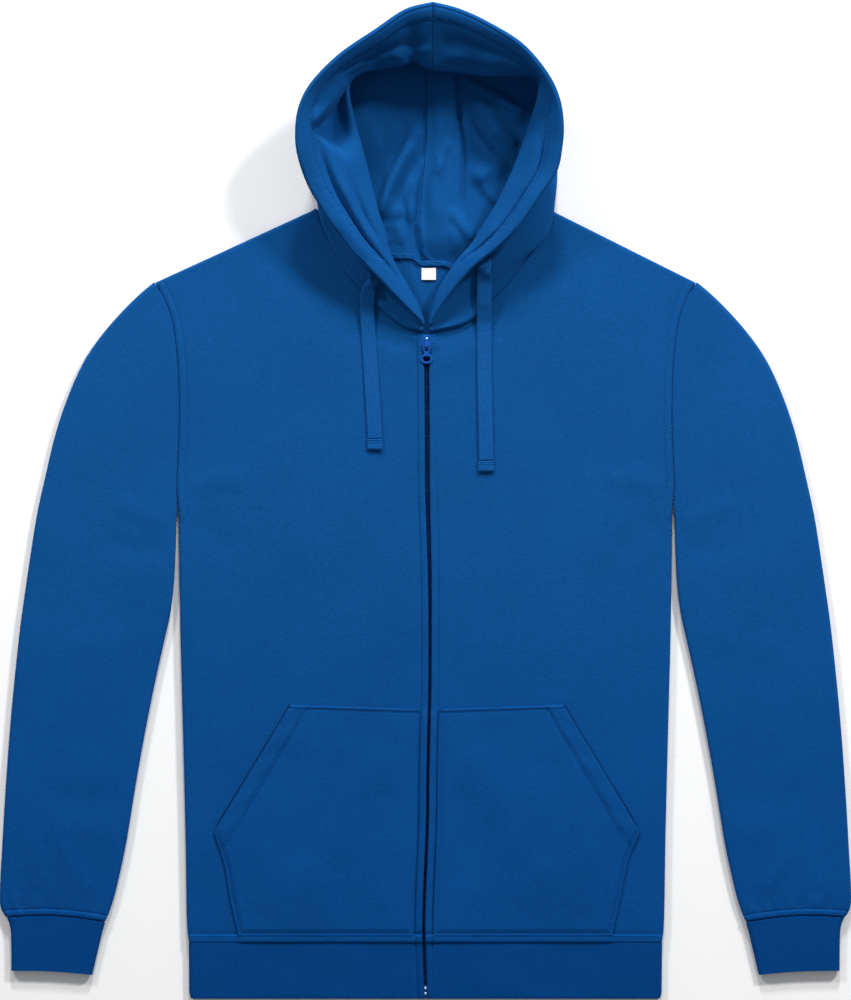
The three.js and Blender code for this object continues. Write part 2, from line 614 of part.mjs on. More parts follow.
// One section of a sleeve or cuff between an outer and an inner edge point. It starts at the inner
// edge on the top layer, runs over the top to the outer fold, round it and back underneath.
// inner is 'seam' for edges that turn down to meet each other, 'open' for the flat armhole edges
// and 'fold' for a cuff's round inner edge, which closes the ring.
function flatSection(outer, inner, kind, { count, below, puff }) {
  const width = outer.distanceTo(inner);
  const inwards = inner.clone().sub(outer).divideScalar(width);
  const rounded = kind === 'open' ? 0 : inset;
  const points = [];
  const normals = [];
  const add = (fromOuter, z, turn) => {
    points.push(outer.clone().addScaledVector(inwards, fromOuter).setZ(z));
    normals.push(inwards.clone().multiplyScalar(Math.cos(turn)).setZ(Math.sin(turn)));
  };
  const quarter = Math.PI / 2;
  const layer = (way) => {
    const mid = way > 0 ? frontMid : backMid;
    const list = [];
    if (kind === 'seam') {
      list.push([width - rounded, seamHeight + (way * seamGap) / 2, 0]);
      list.push([width - rounded - edgeRadius * 0.29, mid - way * edgeDrop(edgeRadius * 0.29), way * quarter * 0.5]);
    } else if (kind === 'open') {
      list.push([width, mid, way * quarter]);
      list.push([width - edgeRadius * 0.5, mid, way * quarter]);
    }
    const [near, far] = [inset + edgeRadius, width - rounded - edgeRadius];
    const number = way > 0 ? count : below;
    for (let k = 0; k < number; k += 1) {
      const f = k / (number - 1);
      const lift = way > 0 ? puff * Math.sin(Math.PI * f) : 0;
      list.push([THREE.MathUtils.lerp(far, near, f), mid + lift, way * quarter]);
    }
    return list;
  };
  const fold = (centre, from) => [1, 2, 3].map((k) => {
    const angle = from + (k * Math.PI) / 4;
    return [centre + edgeRadius * Math.cos(angle), seamHeight + edgeRadius * Math.sin(angle), angle];
  });
  const parts = [layer(1), fold(inset + edgeRadius, quarter), layer(-1).reverse()];
  if (kind === 'fold') parts.push(fold(width - inset - edgeRadius, -quarter));
  parts.flat().forEach((values) => add(...values));
  return { points, normals };
}

// Sleeves and cuffs
for (const [name, side] of [['left', -1], ['right', 1]]) {
  const hole = curveThrough([...armhole].reverse().map((row) => ({ x: side * (row.x + seamGap / 2), y: row.y })));
  const place = (x, y) => new THREE.Vector3(side * x, y, 0);
  const caps = capRows.map((row, k) => ({
    outer: k === 0 ? hole.getPointAt(0) : place(row.outerX, row.outerY),
    inner: hole.getPointAt(holeShares[k + 1]),
    kind: 'open',
    puff: frontPuff * smooth(k / 6),
  }));
  const arms = sleeveRows.map((row, k) => ({
    outer: place(row.outerX, row.outerY),
    inner: place(row.innerX, row.innerY),
    kind: 'seam',
    puff: frontPuff * smooth((sleeveRows.length - 1 - k) / 3),
  }));
  const sections = [...caps, ...arms].map(({ outer, inner, kind, puff }) => flatSection(
    outer, inner, kind, { count: 5, below: 5, puff }));
  addPiece(`sleeve_${name}`, wall(sections.map((part) => part.points), {
    normals: sections.map((part) => part.normals), flip: side < 0,
  }), 'fleece');

  const count = 2 * cuffRibs + 1;
  const rings = cuffRows.map((row) => flatSection(
    place(row.outerX, row.outerY), place(row.innerX, row.innerY), 'fold', { count, below: 8, puff: 0 }));
  addPiece(`cuff_${name}`, wall(rings.map((part) => part.points), {
    closed: true,
    normals: rings.map((part) => part.normals),
    flip: side < 0,
    rise: (i, j) => (j < count && j % 2 === 1 ? ribRise : 0),
  }), 'rib');
}

// Hem band: one strip from the zip round the back to the zip again
function bandGeometry() {
  const topY = bandTop - seamGap / 2;
  const levels = [
    { y: topY, side: sideSeam[0].x - 0.4 },
    { y: bandBottom + 5, side: 212.4 },
    { y: bandBottom, side: 210.8 },
  ];
  const front = 2 * bandRibs;
  const stripAt = ({ y, side }) => {
    const points = [];
    const edge = side - inset - edgeRadius;
    const zip = zipAt(y);
    for (let k = 0; k <= front; k += 1) {
      points.push(new THREE.Vector3(THREE.MathUtils.lerp(zip - slot, -edge, k / front), y, frontMid));
    }
    const turn = (way, from) => [1, 2, 3].forEach((step) => {
      const angle = from - (step * Math.PI) / 4;
      points.push(new THREE.Vector3(
        way * (edge + edgeRadius * Math.abs(Math.cos(angle))), y, seamHeight + edgeRadius * Math.sin(angle)));
    });
    turn(-1, Math.PI / 2);
    for (let k = 0; k <= 10; k += 1) {
      points.push(new THREE.Vector3(THREE.MathUtils.lerp(-edge, edge, k / 10), y, backMid));
    }
    turn(1, (3 * Math.PI) / 2);
    for (let k = 0; k <= front; k += 1) {
      points.push(new THREE.Vector3(THREE.MathUtils.lerp(edge, zip + slot, k / front), y, frontMid));
    }
    return points;
  };
  const grid = levels.map(stripAt);
  const last = grid[0].length - 1;
  const rise = (i, j) => (Math.min(j, last - j) <= front && Math.min(j, last - j) % 2 === 1 ? ribRise : 0);
  return wall(grid, { rise, flip: true, setNormal: (i, j, normal) => normal.setY(0).normalize() });
}
addPiece('hem_band', bandGeometry(), 'rib');

// Pockets, made from the front's own height, moved out by a gap and half their thickness
const pocketLift = cloth / 2 + seamGap + pocketCloth / 2;
for (const [name, side] of [['left', -1], ['right', 1]]) {
  const rows = pocketRows[name];
  const corner = rows[rows.length - 1];
  const zipSide = (y) => zipAt(y) + side * (slot + pocketFromZip);
  const outer = curveThrough(rows);
  const bottomY = rows[0].y;
  const topY = pocketTopAtZip;
  const patch = patchBetween({
    bottom: (u) => new THREE.Vector3(THREE.MathUtils.lerp(zipSide(bottomY), rows[0].x, u), bottomY, 0),
    top: (u) => new THREE.Vector3(
      THREE.MathUtils.lerp(zipSide(topY), corner.x, u), THREE.MathUtils.lerp(topY, corner.y, u), 0),
    start: (v) => {
      const y = THREE.MathUtils.lerp(bottomY, topY, v);
      return new THREE.Vector3(zipSide(y), y, 0);
    },
    end: (v) => outer.getPointAt(v),
  });
  const grid = Array.from({ length: 13 }, (_, i) => Array.from({ length: 9 }, (_, j) => {
    const point = patch(j / 8, i / 12);
    point.z = frontHeight(name, point) + pocketLift;
    return point;
  }));
  addPiece(`pocket_${name}`, wall(grid, { thick: pocketCloth }), 'fleece');
}

// Neck seam points of each hood half, a hair inside those of the fronts and above that of the back,
// and a little further in beside the shoulder, where the body's edge is round
const shoulderClear = 3.1;
const shoulderRow = frontNeck.left.length - 1;
const hoodNeck = Object.fromEntries(['left', 'right'].map((name) => {
  const side = name === 'left' ? -1 : 1;
  const clear = (k) => shoulderClear * Math.max(0, 1 - Math.abs(k - shoulderRow) / 2.2);
  const front = frontNeck[name].map((row, k) => besideNeck(row, seamGap / 2 + clear(k)));
  const back = backNeck[name].slice(1).map((row, k) => {
    const point = besideNeck(row, clear(k + shoulderRow + 1));
    return point.setY(point.y + seamGap / 2);
  });
  back[back.length - 1].x += (side * seamGap) / 2;
  return [name, [...front, ...back]];
}));

// Hood halves. Across each section the cloth runs from the rim down the flap to its fold,
// back outwards underneath, round the turn and in along the floor to the neck seam.
const collarRise = 4;
const hipShare = 6 / 14;
function hoodSection(name, t) {
  const rows = hoodRows[name];
  const get = (key) => columnAt(rows, key, t);
  const at = (place) => new THREE.Vector3(get(`${place}X`), get(`${place}Y`), get(`${place}Z`));
  const [rim, fold, under] = ['rim', 'fold', 'under'].map(at);
  const neck = lineAt(hoodNeck[name], t).setZ(get('neckZ'));
  const flap = rim.clone().lerp(fold, 0.5);
  flap.z += 0.06 * rim.distanceTo(fold);
  const hem = rim.clone().lerp(fold, 0.16);
  hem.z += 0.05 * rim.distanceTo(fold);
  const hidden = fold.clone().lerp(under, 0.62);
  hidden.z = THREE.MathUtils.lerp(fold.z, under.z, 0.62) + 1.5 * smooth(t * 2);
  const collar = neck.clone().add(new THREE.Vector3(neckMiddle.x - neck.x, neckMiddle.y - neck.y, 0).setLength(1));
  collar.z += collarRise;
  const floor = under.clone().lerp(neck, 0.16).setZ(backMid + 0.4);
  const middle = under.clone().lerp(neck, 0.55).setZ(backMid);
  const onBack = smooth((t - hipShare) * 14 + 0.5);
  const last = collar.clone().lerp(middle, onBack);
  const before = under.clone().lerp(collar, 0.5).lerp(floor, onBack);
  return new THREE.CatmullRomCurve3([rim, hem, flap, fold, hidden, under, before, last, neck], false, 'centripetal');
}
const hoodSteps = [0, 0.09, 0.18, 0.27, 0.33, 0.375, 0.42, 0.5, 0.57, 0.61, 0.64, 0.68, 0.76, 0.84, 0.92, 1];
for (const name of ['left', 'right']) {
  const last = hoodSteps.length - 1;
  const frontRows = frontNeck[name].length - 1;
  const lastRow = hoodRows[name].length - 1;
  const places = [
    ...Array.from({ length: frontRows }, (_, k) => k),
    ...Array.from({ length: 2 * (lastRow - frontRows) + 1 }, (_, k) => frontRows + k / 2),
  ];
  const grid = places.map((place) => {
    const section = hoodSection(name, place / lastRow);
    return hoodSteps.map((s) => {
      const point = section.getPoint(s);
      return point.setZ(Math.max(point.z, backMid));
    });
  });
  const setNormal = (i, j, normal) => {
    if (i === places.length - 1) normal.setX(0).normalize();
    if (Math.abs(grid[i][j].z - backMid) < 0.05) normal.set(0, 0, Math.sign(normal.z));
    else if (j === last && Math.abs(grid[i][j].z - frontMid) < 0.3) normal.set(0, 0, Math.sign(normal.z));
  };
  addPiece(`hood_${name}`, wall(grid, { setNormal }), 'fleece');
}

// Neck tape over the back neck seam, and the bare label below it
const neckLine = curveThrough([...backNeck.left, ...[...backNeck.right].reverse().slice(1)]);
const tapeGrid = Array.from({ length: neckTape.steps + 1 }, (_, k) => {
  const point = neckLine.getPointAt(THREE.MathUtils.lerp(neckTape.from, neckTape.to, k / neckTape.steps));
  point.z = neckTape.low + neckTape.thick / 2;
  return [-1, 1].map((way) => point.clone().add(new THREE.Vector3(0, (way * neckTape.width) / 2, 0)));
});
addPiece('neck_tape', wall(tapeGrid, { thick: neckTape.thick }), 'fleece');
const labelBox = new THREE.BoxGeometry(label.right - label.left, label.top - label.bottom, label.thick);
labelBox.translate((label.left + label.right) / 2, (label.top + label.bottom) / 2, label.low + label.thick / 2);
addPiece('label', labelBox, 'white');

// Flat strips that follow the zip line between two heights
function zipStrip(from, to, steps, low, thick, edges) {
  const grid = Array.from({ length: steps + 1 }, (_, k) => {
    const y = THREE.MathUtils.lerp(from, to, k / steps);
    return edges(y).map((offset) => new THREE.Vector3(zipAt(y) + offset, y, low + thick / 2));
  });
  return wall(grid, { thick });
}
addPiece('zip_chain', zipStrip(chain.bottom, chain.top, 20, chain.low, chain.thick,
  () => [-chain.half, chain.half]), 'dark');
const tapeStep = 0.4;
for (const [name, side] of [['left', -1], ['right', 1]]) {
  const tapeTop = slider.postLow - tapeStep;
  const geometry = zipStrip(stop.top + tapeStep, tapeTop, 20, tape.low, tape.thick,
    () => [side * tape.inner, side * tape.outer].sort((a, b) => a - b));
  addPiece(`zip_tape_${name}`, geometry, 'dark');
}
addPiece('zip_stop', new THREE.BoxGeometry(2 * stop.half, stop.top - stop.bottom, stop.high - stop.low)
  .translate(zipAt(-440), (stop.top + stop.bottom) / 2, (stop.high + stop.low) / 2), 'white');

// Joins and cuts of closed shapes
function toSolid(geometry) {
  const bare = new THREE.BufferGeometry();
  bare.setAttribute('position', geometry.getAttribute('position'));
  if (geometry.index) bare.setIndex(geometry.index);
  const merged = mergeVertices(bare, 1e-4);
  return new wasm.Manifold(new wasm.Mesh({
    numProp: 3,
    vertProperties: new Float32Array(merged.getAttribute('position').array),
    triVerts: new Uint32Array(merged.index.array),
  }));
}
function toGeometry(solid) {
  const mesh = solid.getMesh();
  const geometry = new THREE.BufferGeometry();
  geometry.setAttribute('position', new THREE.BufferAttribute(new Float32Array(mesh.vertProperties), 3));
  geometry.setIndex([...mesh.triVerts]);
  return geometry;
}

function roundedOutline(halfWide, low, high, radius) {
  const shape = new THREE.Shape();
  shape.moveTo(-halfWide + radius, low);
  shape.lineTo(halfWide - radius, low);
  shape.quadraticCurveTo(halfWide, low, halfWide, low + radius);
  shape.lineTo(halfWide, high - radius);
  shape.quadraticCurveTo(halfWide, high, halfWide - radius, high);
  shape.lineTo(-halfWide + radius, high);
  shape.quadraticCurveTo(-halfWide, high, -halfWide, high - radius);
  shape.lineTo(-halfWide, low + radius);
  shape.quadraticCurveTo(-halfWide, low, -halfWide + radius, low);
  return shape;
}
const extrude = (shape, depth, curveSegments = 4) => new THREE.ExtrudeGeometry(
  shape, { depth, bevelEnabled: false, curveSegments });

// Slider: lower plate, post, upper plate and the bridge that carries the pull
function sliderGeometry() {
  const plate = (low, thick) => toSolid(
    extrude(roundedOutline(slider.halfWidth, slider.lowerEnd, slider.upperEnd, 2.6), thick).translate(0, 0, low));
  const post = new THREE.BoxGeometry(2 * slider.postHalf, slider.postHigh - slider.postLow,
    slider.topLow - slider.low).translate(0, (slider.postHigh + slider.postLow) / 2,
    (slider.topLow + slider.low) / 2 + 0.2);
  const plateTop = slider.topLow + slider.topPlate;
  const bridgeTop = plateTop + slider.bridgeRise;
  const arch = new THREE.Shape();
  const round = 2;
  arch.moveTo(slider.bridgeLow, plateTop - 0.4);
  arch.lineTo(slider.bridgeHigh, plateTop - 0.4);
  arch.lineTo(slider.bridgeHigh, bridgeTop - round);
  arch.quadraticCurveTo(slider.bridgeHigh, bridgeTop, slider.bridgeHigh - round, bridgeTop);
  arch.lineTo(slider.bridgeLow + round, bridgeTop);
  arch.quadraticCurveTo(slider.bridgeLow, bridgeTop, slider.bridgeLow, bridgeTop - round);
  arch.closePath();
  const hollow = new THREE.Path();
  hollow.moveTo(slider.bridgeLow + slider.bridgeBar, plateTop);
  hollow.lineTo(slider.bridgeLow + slider.bridgeBar, bridgeTop - slider.bridgeBar);
  hollow.lineTo(slider.bridgeHigh - slider.bridgeBar, bridgeTop - slider.bridgeBar);
  hollow.lineTo(slider.bridgeHigh - slider.bridgeBar, plateTop);
  hollow.closePath();
  arch.holes.push(hollow);
  const bridge = extrude(arch, 2 * slider.bridgeHalf);
  // The arch is drawn with Y along its x and Z along its y, so it is turned to stand up
  bridge.applyMatrix4(new THREE.Matrix4().set(
    0, 0, 1, -slider.bridgeHalf,
    1, 0, 0, 0,
    0, 1, 0, 0,
    0, 0, 0, 1));
  return toGeometry(plate(slider.low, slider.plate).add(toSolid(post))
    .add(plate(slider.topLow, slider.topPlate)).add(toSolid(bridge)));
}
const zipX = zipAt(pull.pivotY);
addPiece('zip_slider', sliderGeometry().translate(zipX, 0, 0), 'paint');

// Pull tab, drawn hanging down from its pin and then laid over by its droop
function pullGeometry() {
  const tab = new THREE.Shape();
  const start = pull.pinRadius;
  tab.moveTo(-pull.armOuter, start);
  tab.lineTo(-pull.armOuter, -pull.armLength);
  tab.lineTo(-pull.neckHalf, -pull.neckStart);
  tab.absellipse(0, pull.ringCentre, pull.ringHalfWidth, pull.ringHalfLength, Math.PI * 0.66, Math.PI * 2.34, false);
  tab.lineTo(pull.neckHalf, -pull.neckStart);
  tab.lineTo(pull.armOuter, -pull.armLength);
  tab.lineTo(pull.armOuter, start);
  tab.closePath();
  const eye = new THREE.Path();
  eye.moveTo(-pull.armInner, -pull.pinRadius);
  eye.lineTo(pull.armInner, -pull.pinRadius);
  eye.lineTo(pull.armInner, -pull.eyeLength);
  eye.lineTo(-pull.armInner, -pull.eyeLength);
  eye.closePath();
  const ring = new THREE.Path();
  ring.absellipse(0, pull.ringCentre, pull.holeHalfWidth, pull.holeHalfLength, 0, Math.PI * 2, true);
  tab.holes.push(eye, ring);
  return extrude(tab, pull.thick, 12).translate(0, 0, -pull.thick / 2);
}
const pullPlace = new THREE.Group();
pullPlace.position.set(zipX, pull.pivotY, pull.pivotZ);
pullPlace.rotation.x = THREE.MathUtils.degToRad(pull.droop);
hoodie.add(pullPlace);
addPiece('zip_pull', pullGeometry(), 'paint', pullPlace);

// Drawcord ends, a flat woven cord, and the folded and stitched end on each
function cordSection(width, thick) {
  const shape = new THREE.Shape();
  const [w, h, chamfer] = [width / 2, thick / 2, thick * 0.3];
  shape.moveTo(-w + chamfer, -h);
  shape.lineTo(w - chamfer, -h);
  shape.lineTo(w, -h + chamfer);
  shape.lineTo(w, h - chamfer);
  shape.lineTo(w - chamfer, h);
  shape.lineTo(-w + chamfer, h);
  shape.lineTo(-w, h - chamfer);
  shape.lineTo(-w, -h + chamfer);
  shape.closePath();
  return shape;
}
for (const name of ['left', 'right']) {
  const rows = cordRows[name];
  const path = curveThrough(rows);
  addPiece(`drawcord_${name}`, new THREE.ExtrudeGeometry(cordSection(cord.width, cord.thick), {
    steps: cord.steps, bevelEnabled: false, extrudePath: path,
  }), 'woven');
  const end = rows[rows.length - 1];
  const tip = extrude(roundedOutline(cord.width / 2 + 0.3, -cordTipLength, 0, 1.2), cord.thick + 0.4, 2);
  tip.translate(end.x, end.y - seamGap, end.z - cord.thick / 2 - 0.1);
  addPiece(`cord_tip_${name}`, tip, 'woven');
}

export default hoodie;
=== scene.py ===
import math

import bmesh
import bpy
import numpy as np
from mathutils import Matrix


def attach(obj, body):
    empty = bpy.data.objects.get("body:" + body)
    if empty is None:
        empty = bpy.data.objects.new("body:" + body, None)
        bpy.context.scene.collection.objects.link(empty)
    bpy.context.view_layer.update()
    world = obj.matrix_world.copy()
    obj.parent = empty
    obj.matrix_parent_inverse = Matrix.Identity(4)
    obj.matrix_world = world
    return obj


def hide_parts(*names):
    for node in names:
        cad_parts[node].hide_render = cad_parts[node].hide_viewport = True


# A zip-up hoodie laid flat on its back. Lengths are in mm here and become metres in addMesh.
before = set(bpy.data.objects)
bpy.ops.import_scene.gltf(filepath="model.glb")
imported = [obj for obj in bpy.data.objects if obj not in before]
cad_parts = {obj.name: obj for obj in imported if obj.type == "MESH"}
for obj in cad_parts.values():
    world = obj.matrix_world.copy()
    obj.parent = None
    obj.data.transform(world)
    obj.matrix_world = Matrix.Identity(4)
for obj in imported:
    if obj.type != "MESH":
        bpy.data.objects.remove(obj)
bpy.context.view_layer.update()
scene = bpy.context.scene

cloth = dict(thick=2.4, back=1.2, front=6.0, turn=2.4, seam=3.6, gap=0.3, puff=1.4, puffReach=75.0)
half = cloth["thick"] / 2
bandTop, bandBottom = -394.8, -445.2


# Curves and grids. A cubic through evenly spaced rows at shares t of the way; the end rows are repeated.
def through(rows, t):
    rows = np.asarray(rows, float)
    place = np.clip(np.asarray(t, float), 0, 1) * (len(rows) - 1)
    low = np.minimum(place.astype(int), len(rows) - 2)
    f = (place - low)[..., None]
    a, b, c, d = (rows[np.clip(low + k, 0, len(rows) - 1)] for k in (-1, 0, 1, 2))
    return 0.5 * (2 * b + (c - a) * f + (2 * a - 5 * b + 4 * c - d) * f**2 + (3 * b - a - 3 * c + d) * f**3)


# Places on a line of points at shares t of its running length.
def byLength(line, t):
    run = np.concatenate([[0], np.cumsum(np.linalg.norm(np.diff(line, axis=0), axis=1))])
    at = np.clip(np.asarray(t, float), 0, 1) * run[-1]
    return np.stack([np.interp(at, run, line[:, k]) for k in range(line.shape[1])], axis=-1)


def smoothLine(rows, t):
    return byLength(through(rows, np.linspace(0, 1, 500)), t)


# Least plan distance from points to the straight pieces of a line.
def distanceTo(line, points):
    flat = points.reshape(-1, points.shape[-1])[:, None, :2]
    a, b = line[None, :-1, :2], line[None, 1:, :2]
    span = b - a
    share = np.clip(np.sum((flat - a) * span, -1) / np.maximum(np.sum(span * span, -1), 1e-9), 0, 1)
    near = np.linalg.norm(flat - a - share[..., None] * span, axis=-1).min(axis=1)
    return near.reshape(points.shape[:-1])


# The same distance with the share of the line's length at the nearest place.
def placeOn(line, points):
    flat = points.reshape(-1, points.shape[-1])[:, None, :2]
    a, b = line[None, :-1, :2], line[None, 1:, :2]
    span = b - a
    length = np.linalg.norm(span[0], axis=1)
    run = np.concatenate([[0], np.cumsum(length)])
    share = np.clip(np.sum((flat - a) * span, -1) / np.maximum(np.sum(span * span, -1), 1e-9), 0, 1)
    away = np.linalg.norm(flat - a - share[..., None] * span, axis=-1)
    best = away.argmin(axis=1)
    pick = np.arange(len(best))
    along = (run[best] + share[pick, best] * length[best]) / run[-1]
    return away[pick, best].reshape(points.shape[:-1]), along.reshape(points.shape[:-1])


# Height of an upper face at plan points: its four nearest points, weighted by nearness.
def heightOn(upper, points):
    flat = upper.reshape(-1, 3)
    away = np.linalg.norm(flat[None, :, :2] - points[:, None, :2], axis=-1)
    near = np.argpartition(away, 4, axis=1)[:, :4]
    weight = 1 / (np.take_along_axis(away, near, 1) + 0.05)
    return np.sum(flat[near, 2] * weight, axis=1) / np.sum(weight, axis=1)


def smooth(t):
    s = np.clip(t, 0, 1)
    return s * s * (3 - 2 * s)


# Bell-shaped groove or ridge about one distance.
def bell(d, at, width):
    return np.exp(-(((d - at) / width) ** 2))


# A flat-topped rise between two distances with soft shoulders.
def shelf(d, low, high, soft=1.0):
    return smooth((d - low) / soft + 0.5) * (1 - smooth((d - high) / soft + 0.5))


# A soft fold along a line: bell across it, fading to nothing at both ends.
def crease(points, line, width, height, ends=0.18):
    away, along = placeOn(np.asarray(line, float), points)
    fade = smooth(along / ends) * smooth((1 - along) / ends)
    return height * np.exp(-((away / width) ** 2)) * fade


# A fold that lies over: the cloth climbs towards the line from its left side and drops sharply on
# the other, fading to nothing at both ends.
def overlap(points, line, width, height, drop=3.4, ends=0.2):
    line = byLength(np.asarray(line, float), np.linspace(0, 1, 40))
    away, along = placeOn(line, points)
    at = np.clip(along, 0.013, 0.987)
    near, ahead = byLength(line, at - 0.012), byLength(line, at + 0.012)
    way, to = ahead - near, points[..., :2] - (near + ahead) / 2
    signed = away * np.sign(way[..., 0] * to[..., 1] - way[..., 1] * to[..., 0])
    climb = smooth(1 - signed / width) * (signed >= 0) + (1 - smooth(-signed / drop)) * (signed < 0)
    return height * climb * smooth(along / ends) * smooth((1 - along) / ends)


# Shares of a length: close steps at an edge that is rounded, wider ones in the middle.
def steps(length, coarse, start=True, end=True, reach=9.0, fine=0.75):
    edge = np.concatenate([[0, 0.1, 0.35, 0.7, 1.2], np.arange(1.2 + fine, reach, fine)])
    low = edge if start else np.array([0.0])
    high = length - edge[::-1] if end else np.array([length])
    count = max(2, int(round((high[0] - low[-1]) / coarse)))
    middle = np.linspace(low[-1], high[0], count + 1)[1:-1]
    return np.concatenate([low, middle, high]) / length


# Surface between four edge lines: the two straight blends less the blend of the corners.
def between(bottom, top, start, end, u, v):
    u, v = u[None, :, None], v[:, None, None]
    blend = (1 - v) * bottom[None] + v * top[None] + (1 - u) * start[:, None] + u * end[:, None]
    low = (1 - u) * bottom[0] + u * bottom[-1]
    high = (1 - u) * top[0] + u * top[-1]
    return blend - (1 - v) * low - v * high


# Slow wander of a flat cloth: a few long waves of different directions.
def wander(x, y, seed):
    rng = np.random.default_rng(seed)
    total = np.zeros_like(x)
    for _ in range(7):
        angle, wave, phase = rng.uniform(0, math.pi), rng.uniform(70, 190), rng.uniform(0, 6.28)
        total += np.sin((x * math.cos(angle) + y * math.sin(angle)) * 2 * math.pi / wave + phase)
    return total / 7


# Meshes.
def addMesh(name, points, faces, material):
    mesh = bpy.data.meshes.new(name)
    mesh.from_pydata((np.asarray(points) * 0.001).tolist(), [], faces)
    mesh.polygons.foreach_set("use_smooth", [True] * len(mesh.polygons))
    mesh.materials.append(material)
    mesh.update()
    piece = bpy.data.objects.new(name, mesh)
    scene.collection.objects.link(piece)
    return piece


# A piece moves with a body, has a material slot and, mostly, stands for a CAD node.
def dress(piece, nodeName=None, body="garment"):
    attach(piece, body)
    if nodeName:
        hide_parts(nodeName)
    return piece


# Unit normals of a grid: the cross product of its two directions.
def normalsOf(grid, ring=False):
    along = np.gradient(grid, axis=0)
    across = (np.roll(grid, -1, 1) - np.roll(grid, 1, 1)) / 2 if ring else np.gradient(grid, axis=1)
    normal = np.cross(along, across)
    return normal / np.maximum(np.linalg.norm(normal, axis=-1, keepdims=True), 1e-9)


# A closed sheet about a middle grid: its two faces lie up and down along the normals and meet
# at the border, where both are nought. A painted shade from 0 to 1 darkens the colour, standing
# in for the shadow in a narrow opening. Returns the mesh's piece and its upper face.
def sheetMesh(name, grid, up, down, material, ring=False, paintedShade=None):
    n, m, _ = grid.shape
    normal = normalsOf(grid, ring)
    upper = grid + normal * up[..., None]
    lower = grid - normal * down[..., None]
    index = np.arange(n * m).reshape(n, m)
    under = index + n * m
    border = np.zeros((n, m), bool)
    border[[0, -1], :] = True
    if not ring:
        border[:, [0, -1]] = True
    under[border] = index[border]
    columns = np.arange(m if ring else m - 1)
    after = (columns + 1) % m
    a, b = index[:-1][:, columns], index[1:][:, columns]
    c, d = index[1:][:, after], index[:-1][:, after]
    e, f = under[:-1][:, columns], under[1:][:, columns]
    g, h = under[1:][:, after], under[:-1][:, after]
    quads = np.concatenate([np.stack([a, b, c, d], -1).reshape(-1, 4), np.stack([e, h, g, f], -1).reshape(-1, 4)])
    used, back = np.unique(quads, return_inverse=True)
    points = np.concatenate([upper.reshape(-1, 3), lower.reshape(-1, 3)])[used]
    piece = addMesh(name, points, back.reshape(-1, 4).tolist(), material)
    if paintedShade is not None:
        layer = piece.data.attributes.new("paintedShade", "FLOAT", "POINT")
        layer.data.foreach_set("value", np.tile(paintedShade.reshape(-1), 2)[used])
    return piece, upper


# Half thickness that rounds off to nothing at the border: a quarter ellipse of the distance to it.
def roundOff(distance, radius=half, amount=half):
    s = np.clip(distance / radius, 0, 1)
    return amount * np.sqrt(np.maximum(0, 1 - (1 - s) ** 2))


# A tube along a path: section[k] = (across, up) for each point of the path, ends closed.
def tubeMesh(name, path, across, up, section, material):
    n, m = section.shape[:2]
    grid = path[:, None] + section[..., :1] * across[:, None] + section[..., 1:] * up[:, None]
    index = np.arange(n * m).reshape(n, m)
    after = np.roll(index, -1, 1)
    quads = np.stack([index[:-1], after[:-1], after[1:], index[1:]], -1).reshape(-1, 4)
    corners = grid.reshape(-1, 3)[quads]
    volume = np.sum(np.cross(corners[:, 0], corners[:, 1]) * corners[:, 2])
    faces = quads.tolist() + [index[0][::-1].tolist(), index[-1].tolist()]
    if volume < 0:
        faces = [face[::-1] for face in faces]
    return addMesh(name, grid.reshape(-1, 3), faces, material)


# Many copies of one small mesh, each turned so that its x lies along way and its z along up.
def copies(shape, faces, places, way, up):
    way = way / np.linalg.norm(way, axis=1, keepdims=True)
    up = up - way * np.sum(up * way, axis=1, keepdims=True)
    up = up / np.linalg.norm(up, axis=1, keepdims=True)
    side = np.cross(up, way)
    points = (places[:, None] + shape[None, :, :1] * way[:, None] + shape[None, :, 1:2] * side[:, None]
              + shape[None, :, 2:] * up[:, None])
    start = np.arange(len(places)) * len(shape)
    blocks = [(np.asarray(face)[None] + start[:, None]) for face in faces]
    return points.reshape(-1, 3), [row for block in blocks for row in block.tolist()]


# A rice grain: rings of six points that swell and taper, closed by a point at each end.
def grain(length, wide, high, sides=6):
    stations = [(-0.42, 0.62), (-0.2, 0.96), (0.2, 0.96), (0.42, 0.62)]
    turn = np.arange(sides) * 2 * math.pi / sides
    points = [(-length / 2, 0, 0)]
    for x, size in stations:
        points += [(x * length, wide / 2 * size * math.cos(a), high / 2 * size * math.sin(a)) for a in turn]
    points.append((length / 2, 0, 0))
    faces = []
    for k in range(sides):
        nxt = (k + 1) % sides
        faces.append([0, 1 + nxt, 1 + k])
        for ring in range(len(stations) - 1):
            a = 1 + ring * sides
            faces.append([a + k, a + nxt, a + sides + nxt, a + sides + k])
        last = 1 + (len(stations) - 1) * sides
        faces.append([last + k, last + nxt, len(points) - 1])
    return np.array(points), faces


stitchRuns = []


# A row of stitches at even steps on a line; normals give the side on which they lie.
def stitch(line, normals, pitch=2.9, length=2.3, wide=0.62, high=0.55, sink=0.1):
    total = np.linalg.norm(np.diff(line, axis=0), axis=1).sum()
    count = max(2, int(total / pitch))
    share = (np.arange(count) + 0.5) / count
    both = byLength(np.concatenate([line, normals], axis=1), share)
    nearby = byLength(line, np.minimum(1, share + 0.2 / count)) - byLength(line, np.maximum(0, share - 0.2 / count))
    shape, faces = grain(length, wide, high)
    stitchRuns.append(copies(shape, faces, both[:, :3] + both[:, 3:] * (high / 2 - sink), nearby, both[:, 3:]))


